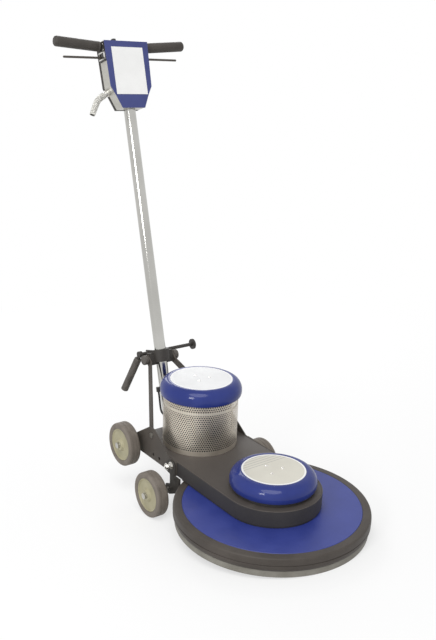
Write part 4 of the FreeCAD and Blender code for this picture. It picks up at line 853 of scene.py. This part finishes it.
# ---- Head trim ----
# A black tray rim wraps the back of the band; black side cheeks carry the bar, each with two screws and
# a steel bezel round the switch lever's slot.
HEAD_HALVES = ((0.041, 0.0), (0.060, 0.041), (0.075, 0.068), (0.079, HEAD_RISE))
TRAY_FRONT, TRAY_BACK = 0.0135, 0.0238
TRAY_PROUD = 0.0007
TRAY_SHEET = 0.0006
tray_loop = [(half + TRAY_PROUD, HEAD_LOW + rise) for half, rise in HEAD_HALVES]
tray_loop[0] = (tray_loop[0][0], HEAD_LOW - TRAY_PROUD)
tray_loop[-1] = (tray_loop[-1][0], HEAD_LOW + HEAD_RISE + TRAY_PROUD)
tray_loop += [(-across, up) for across, up in reversed(tray_loop)]
inner_loop = [(across * (1 - TRAY_SHEET / abs(across)), HEAD_LOW + (up - HEAD_LOW) * 0.996 + 0.0004)
              for across, up in tray_loop]
tray = bmesh.new()
tray_rows = [[tray.verts.new((across, depth, up)) for across, up in loop]
             for loop, depth in ((tray_loop, TRAY_FRONT), (tray_loop, TRAY_BACK), (inner_loop, TRAY_BACK),
                                 (inner_loop, TRAY_FRONT))]
for row_one, row_two in zip(tray_rows, tray_rows[1:] + tray_rows[:1]):
    for k in range(len(row_one)):
        tray.faces.new((row_one[k - 1], row_one[k], row_two[k], row_two[k - 1]))
bmesh.ops.recalc_face_normals(tray, faces=tray.faces)
finish_piece(tray, "head_tray_rim", black_coat, "handle", handle, soften=20)
CHEEK_FACE = 0.0790
CHEEK_THICK = 0.0011
SLOT_THICK = 0.0003
CHEEKS = ((-0.0270, 0.1770, 0.0130, 0.2070, CHEEK_THICK), (-0.0270, 0.1480, 0.0130, 0.1530, CHEEK_THICK),
          (0.0128, 0.1500, 0.0134, 0.2000, CHEEK_THICK), (-0.0180, 0.1565, 0.0005, 0.1740, SLOT_THICK))
BEZEL_FRONT, BEZEL_LOW, BEZEL_BACK, BEZEL_HIGH = -0.0265, 0.1530, 0.0128, 0.1770
HOLE_FRONT, HOLE_LOW, HOLE_BACK, HOLE_HIGH = -0.0180, 0.1565, 0.0118, 0.1740
BEZELS = ((BEZEL_FRONT, BEZEL_LOW, BEZEL_BACK, HOLE_LOW), (BEZEL_FRONT, HOLE_HIGH, BEZEL_BACK, BEZEL_HIGH),
          (BEZEL_FRONT, HOLE_LOW, HOLE_FRONT, HOLE_HIGH), (HOLE_BACK, HOLE_LOW, BEZEL_BACK, HOLE_HIGH))
BEZEL_THICK = 0.0016
SIDE_SCREWS = (0.1830, 0.1990)
SIDE_SCREW_DEPTH = -0.0185
SIDE_SCREW_HEAD = 0.0030


def side_panel(bm, sign, front, low, back, high, out, thick):
    """A thin box on one side of the head, from front to back and low to high."""
    bmesh.ops.create_cube(bm, size=1, matrix=Matrix.Translation((
        sign * (out + thick / 2), (front + back) / 2, HEAD_LOW + (low + high) / 2))
        @ Matrix.Diagonal((thick, back - front, high - low, 1)))


cheeks, bezels, side_heads = bmesh.new(), bmesh.new(), bmesh.new()
for sign in (-1, 1):
    for front, low, back, high, thick in CHEEKS:
        side_panel(cheeks, sign, front, low, back, high, CHEEK_FACE, thick)
    for front, low, back, high in BEZELS:
        side_panel(bezels, sign, front, low, back, high, CHEEK_FACE - 0.0001, BEZEL_THICK)
    for up in SIDE_SCREWS:
        add_part(side_heads, cross_screw(SIDE_SCREW_HEAD, SCREW_RISE), Matrix.Translation((
            sign * (CHEEK_FACE + CHEEK_THICK - 0.0002), SIDE_SCREW_DEPTH, HEAD_LOW + up))
            @ FACING_OUT[sign])
finish_piece(cheeks, "head_cheeks", black_plastic, "handle", handle)
finish_piece(bezels, "switch_bezels", bright_steel, "handle", handle)
finish_piece(side_heads, "head_screw_heads", bright_steel, "handle", handle, ("head_screws",))

# ---- Handlebar and grips ----
# A steel bar through the head, bent up a little at both sides, with soft moulded rubber grips pushed
# on. They have closed ends and one fine groove near the head.
BAR_DROP = 0.016
BAR_STRAIGHT = 0.040
BAR_RISE = math.radians(4.5)
GRIP_START = 0.082
GRIP_LONG = 0.154
GRIP_RADIUS = 0.016
dress(machined_steel, "handlebar")
hand_rubber = grained_finish("hand_rubber", (0.044, 0.039, 0.035, 1), (0.070, 0.062, 0.055, 1), 0.5,
                             fine=1300.0, broad=18.0, share=0.4, bump=0.5, depth=0.0004, specular=0.25)
grip_outline = ([(0.0096, 0.0), (GRIP_RADIUS - 0.0022, 0.0)]
                + arc(GRIP_RADIUS - 0.002, 0.002, 0.002, -80, 0, 4)
                + [(GRIP_RADIUS, 0.006), (GRIP_RADIUS - 0.0008, 0.0072), (GRIP_RADIUS - 0.0008, 0.0084),
                   (GRIP_RADIUS, 0.0096), (GRIP_RADIUS, GRIP_LONG - 0.007)]
                + arc(GRIP_RADIUS - 0.007, GRIP_LONG - 0.007, 0.007, 10, 90, 7) + [(0, GRIP_LONG)])
grip_up = HEAD_LOW + HEAD_RISE - BAR_DROP + (GRIP_START - BAR_STRAIGHT) * math.tan(BAR_RISE)
for side, sign in SIDES:
    spot = (handle @ Matrix.Translation((sign * GRIP_START, 0, grip_up))
            @ Matrix.Rotation(sign * (math.radians(90) - BAR_RISE), 4, "Y"))
    finish_piece(spun(grip_outline, 56, closed=False), f"hand_grip_{side}", hand_rubber, "handle", spot,
                 ("hand_grips",))
dress(powder_coat, "switch_lever_left", "switch_lever_right")

# ---- Cord gland and woven grip ----
# A steel gland is screwed into the sloped lower right edge of the head. A sleeve of woven steel wire
# over a grey lining leaves it and bends down.
GLAND_LONG = 0.020
GLAND_DEPTH = 0.004
MESH_RADIUS = 0.0105
MESH_STRAIGHT = 0.012
MESH_BEND_RADIUS = 0.055
MESH_BEND = math.radians(32)
MESH_TAIL = 0.038
(slope_half, slope_rise), (slope_top_half, slope_top_rise) = HEAD_HALVES[1:3]
slant = math.atan2(-(slope_top_rise - slope_rise), -(slope_top_half - slope_half))
gland_place = (handle @ Matrix.Translation((-(slope_half + slope_top_half) / 2, GLAND_DEPTH,
                                            HEAD_LOW + (slope_rise + slope_top_rise) / 2))
               @ Matrix.Rotation(slant, 4, "Y"))
woven_wire = grained_finish("woven_wire", (0.54, 0.53, 0.49, 1), (0.68, 0.67, 0.63, 1), 0.36,
                            metallic=0.8, fine=800.0, share=0.5, bump=0.1, rough_spread=0.05)
sleeve_core = grained_finish("sleeve_core", (0.20, 0.195, 0.18, 1), (0.27, 0.262, 0.24, 1), 0.6, metallic=0.5,
                             fine=900.0, bump=0.2)


def along_sleeve(reach):
    """The point and direction at a distance along the sleeve's middle line, from its straight start."""
    if reach < MESH_STRAIGHT:
        return Vector((0, 0, reach)), Vector((0, 0, 1))
    turn = min((reach - MESH_STRAIGHT) / MESH_BEND_RADIUS, MESH_BEND)
    point = Vector((MESH_BEND_RADIUS * (math.cos(turn) - 1), 0,
                    MESH_STRAIGHT + MESH_BEND_RADIUS * math.sin(turn)))
    ahead = Vector((-math.sin(turn), 0, math.cos(turn)))
    return point + ahead * max(reach - MESH_STRAIGHT - MESH_BEND_RADIUS * MESH_BEND, 0), ahead


def new_line(name, radius, rounding):
    """An empty curve in space that will be a round wire of a given radius."""
    line = bpy.data.curves.new(name, "CURVE")
    line.dimensions = "3D"
    line.bevel_depth = radius
    line.bevel_resolution = rounding
    return line


def line_bmesh(line):
    """The surface of a curve as a bmesh, with nothing of the curve left in the scene."""
    carrier = bpy.data.objects.new(line.name, line)
    bm = bmesh.new()
    bm.from_mesh(bpy.data.meshes.new_from_object(carrier))
    bpy.data.objects.remove(carrier)
    return bm


SLEEVE_LONG = MESH_STRAIGHT + MESH_BEND_RADIUS * MESH_BEND + MESH_TAIL
WIRE_RADIUS = 0.00085
WIRE_COUNT = 14
WIRE_STEPS = 44
WIRE_TWIST = 52
WIRE_SINK = 0.0012
WEAVE_LIFT = 0.0004
SLEEVE_TAPER = 0.0014
wires = new_line("woven_wires", WIRE_RADIUS, 1)
for direction in (-1, 1):
    for number in range(WIRE_COUNT):
        spline = wires.splines.new("POLY")
        spline.points.add(WIRE_STEPS)
        for step in range(WIRE_STEPS + 1):
            reach = SLEEVE_LONG * step / WIRE_STEPS
            middle, ahead = along_sleeve(reach)
            turn = math.tau * number / WIRE_COUNT + direction * reach * WIRE_TWIST
            weave = WEAVE_LIFT * math.cos(WIRE_COUNT * turn) * direction
            side_way = Vector((ahead.z, 0, -ahead.x))
            swell = MESH_RADIUS - WIRE_SINK - SLEEVE_TAPER * (reach / SLEEVE_LONG) ** 2 + weave
            spot = middle + (side_way * math.cos(turn) + Vector((0, 1, 0)) * math.sin(turn)) * swell
            spline.points[step].co = (*spot, 1)
sleeve_start = gland_place @ Matrix.Translation((0, 0, GLAND_LONG + 0.0006))
finish_piece(line_bmesh(wires), "cord_grip_weave", woven_wire, "handle", sleeve_start, ("cord_grip",),
             soften=60)
LINING_RADIUS = MESH_RADIUS - 0.0022
LINING_SHEET = 0.0008
LINING_STEPS = 20
LINING_TAPER = 0.17
lining_line = new_line("sleeve_lining", LINING_RADIUS, 6)
lining = lining_line.splines.new("POLY")
lining.points.add(LINING_STEPS)
for step in range(LINING_STEPS + 1):
    lining.points[step].co = (*along_sleeve(SLEEVE_LONG * step / LINING_STEPS)[0], 1)
    lining.points[step].radius = 1.0 - LINING_TAPER * (step / LINING_STEPS) ** 2
lining_bm = line_bmesh(lining_line)
bmesh.ops.solidify(lining_bm, geom=lining_bm.faces[:], thickness=LINING_SHEET)
finish_piece(lining_bm, "cord_grip_lining", sleeve_core, "handle", sleeve_start, ("cord_grip",))

# ---- Motor lead ----
# A short rubber-covered lead from the relief on the tube down to the grommet in the guard, drawn
# with some slack.
LEAD_RADIUS = 0.0032
LEAD_ACROSS = -0.02635
LEAD_ON_HANDLE = (0.138, 0.116)
LEAD_ON_MACHINE = ((-0.031, 0.548, 0.230), (-0.037, 0.531, 0.214), (-0.037, 0.510, 0.212),
                   (-0.030, 0.492, 0.2008), (-0.030, 0.492, 0.1768))
lead_route = new_line("motor_lead_line", LEAD_RADIUS, 5)
lead_route.resolution_u = 10
lead_route.use_fill_caps = True
lead_points = [machine.inverted() @ (handle @ Vector((LEAD_ACROSS, 0, up))) for up in LEAD_ON_HANDLE]
lead_points += [Vector(point) for point in LEAD_ON_MACHINE]
lead_spline = lead_route.splines.new("NURBS")
lead_spline.points.add(len(lead_points) - 1)
for spot, point in zip(lead_spline.points, lead_points):
    spot.co = (*point, 1)
lead_spline.order_u = 3
lead_spline.use_endpoint_u = True
lead_cable = as_object(line_bmesh(lead_route), "motor_lead_cable", belt_rubber, machine)
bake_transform(lead_cable)
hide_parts("motor_lead")
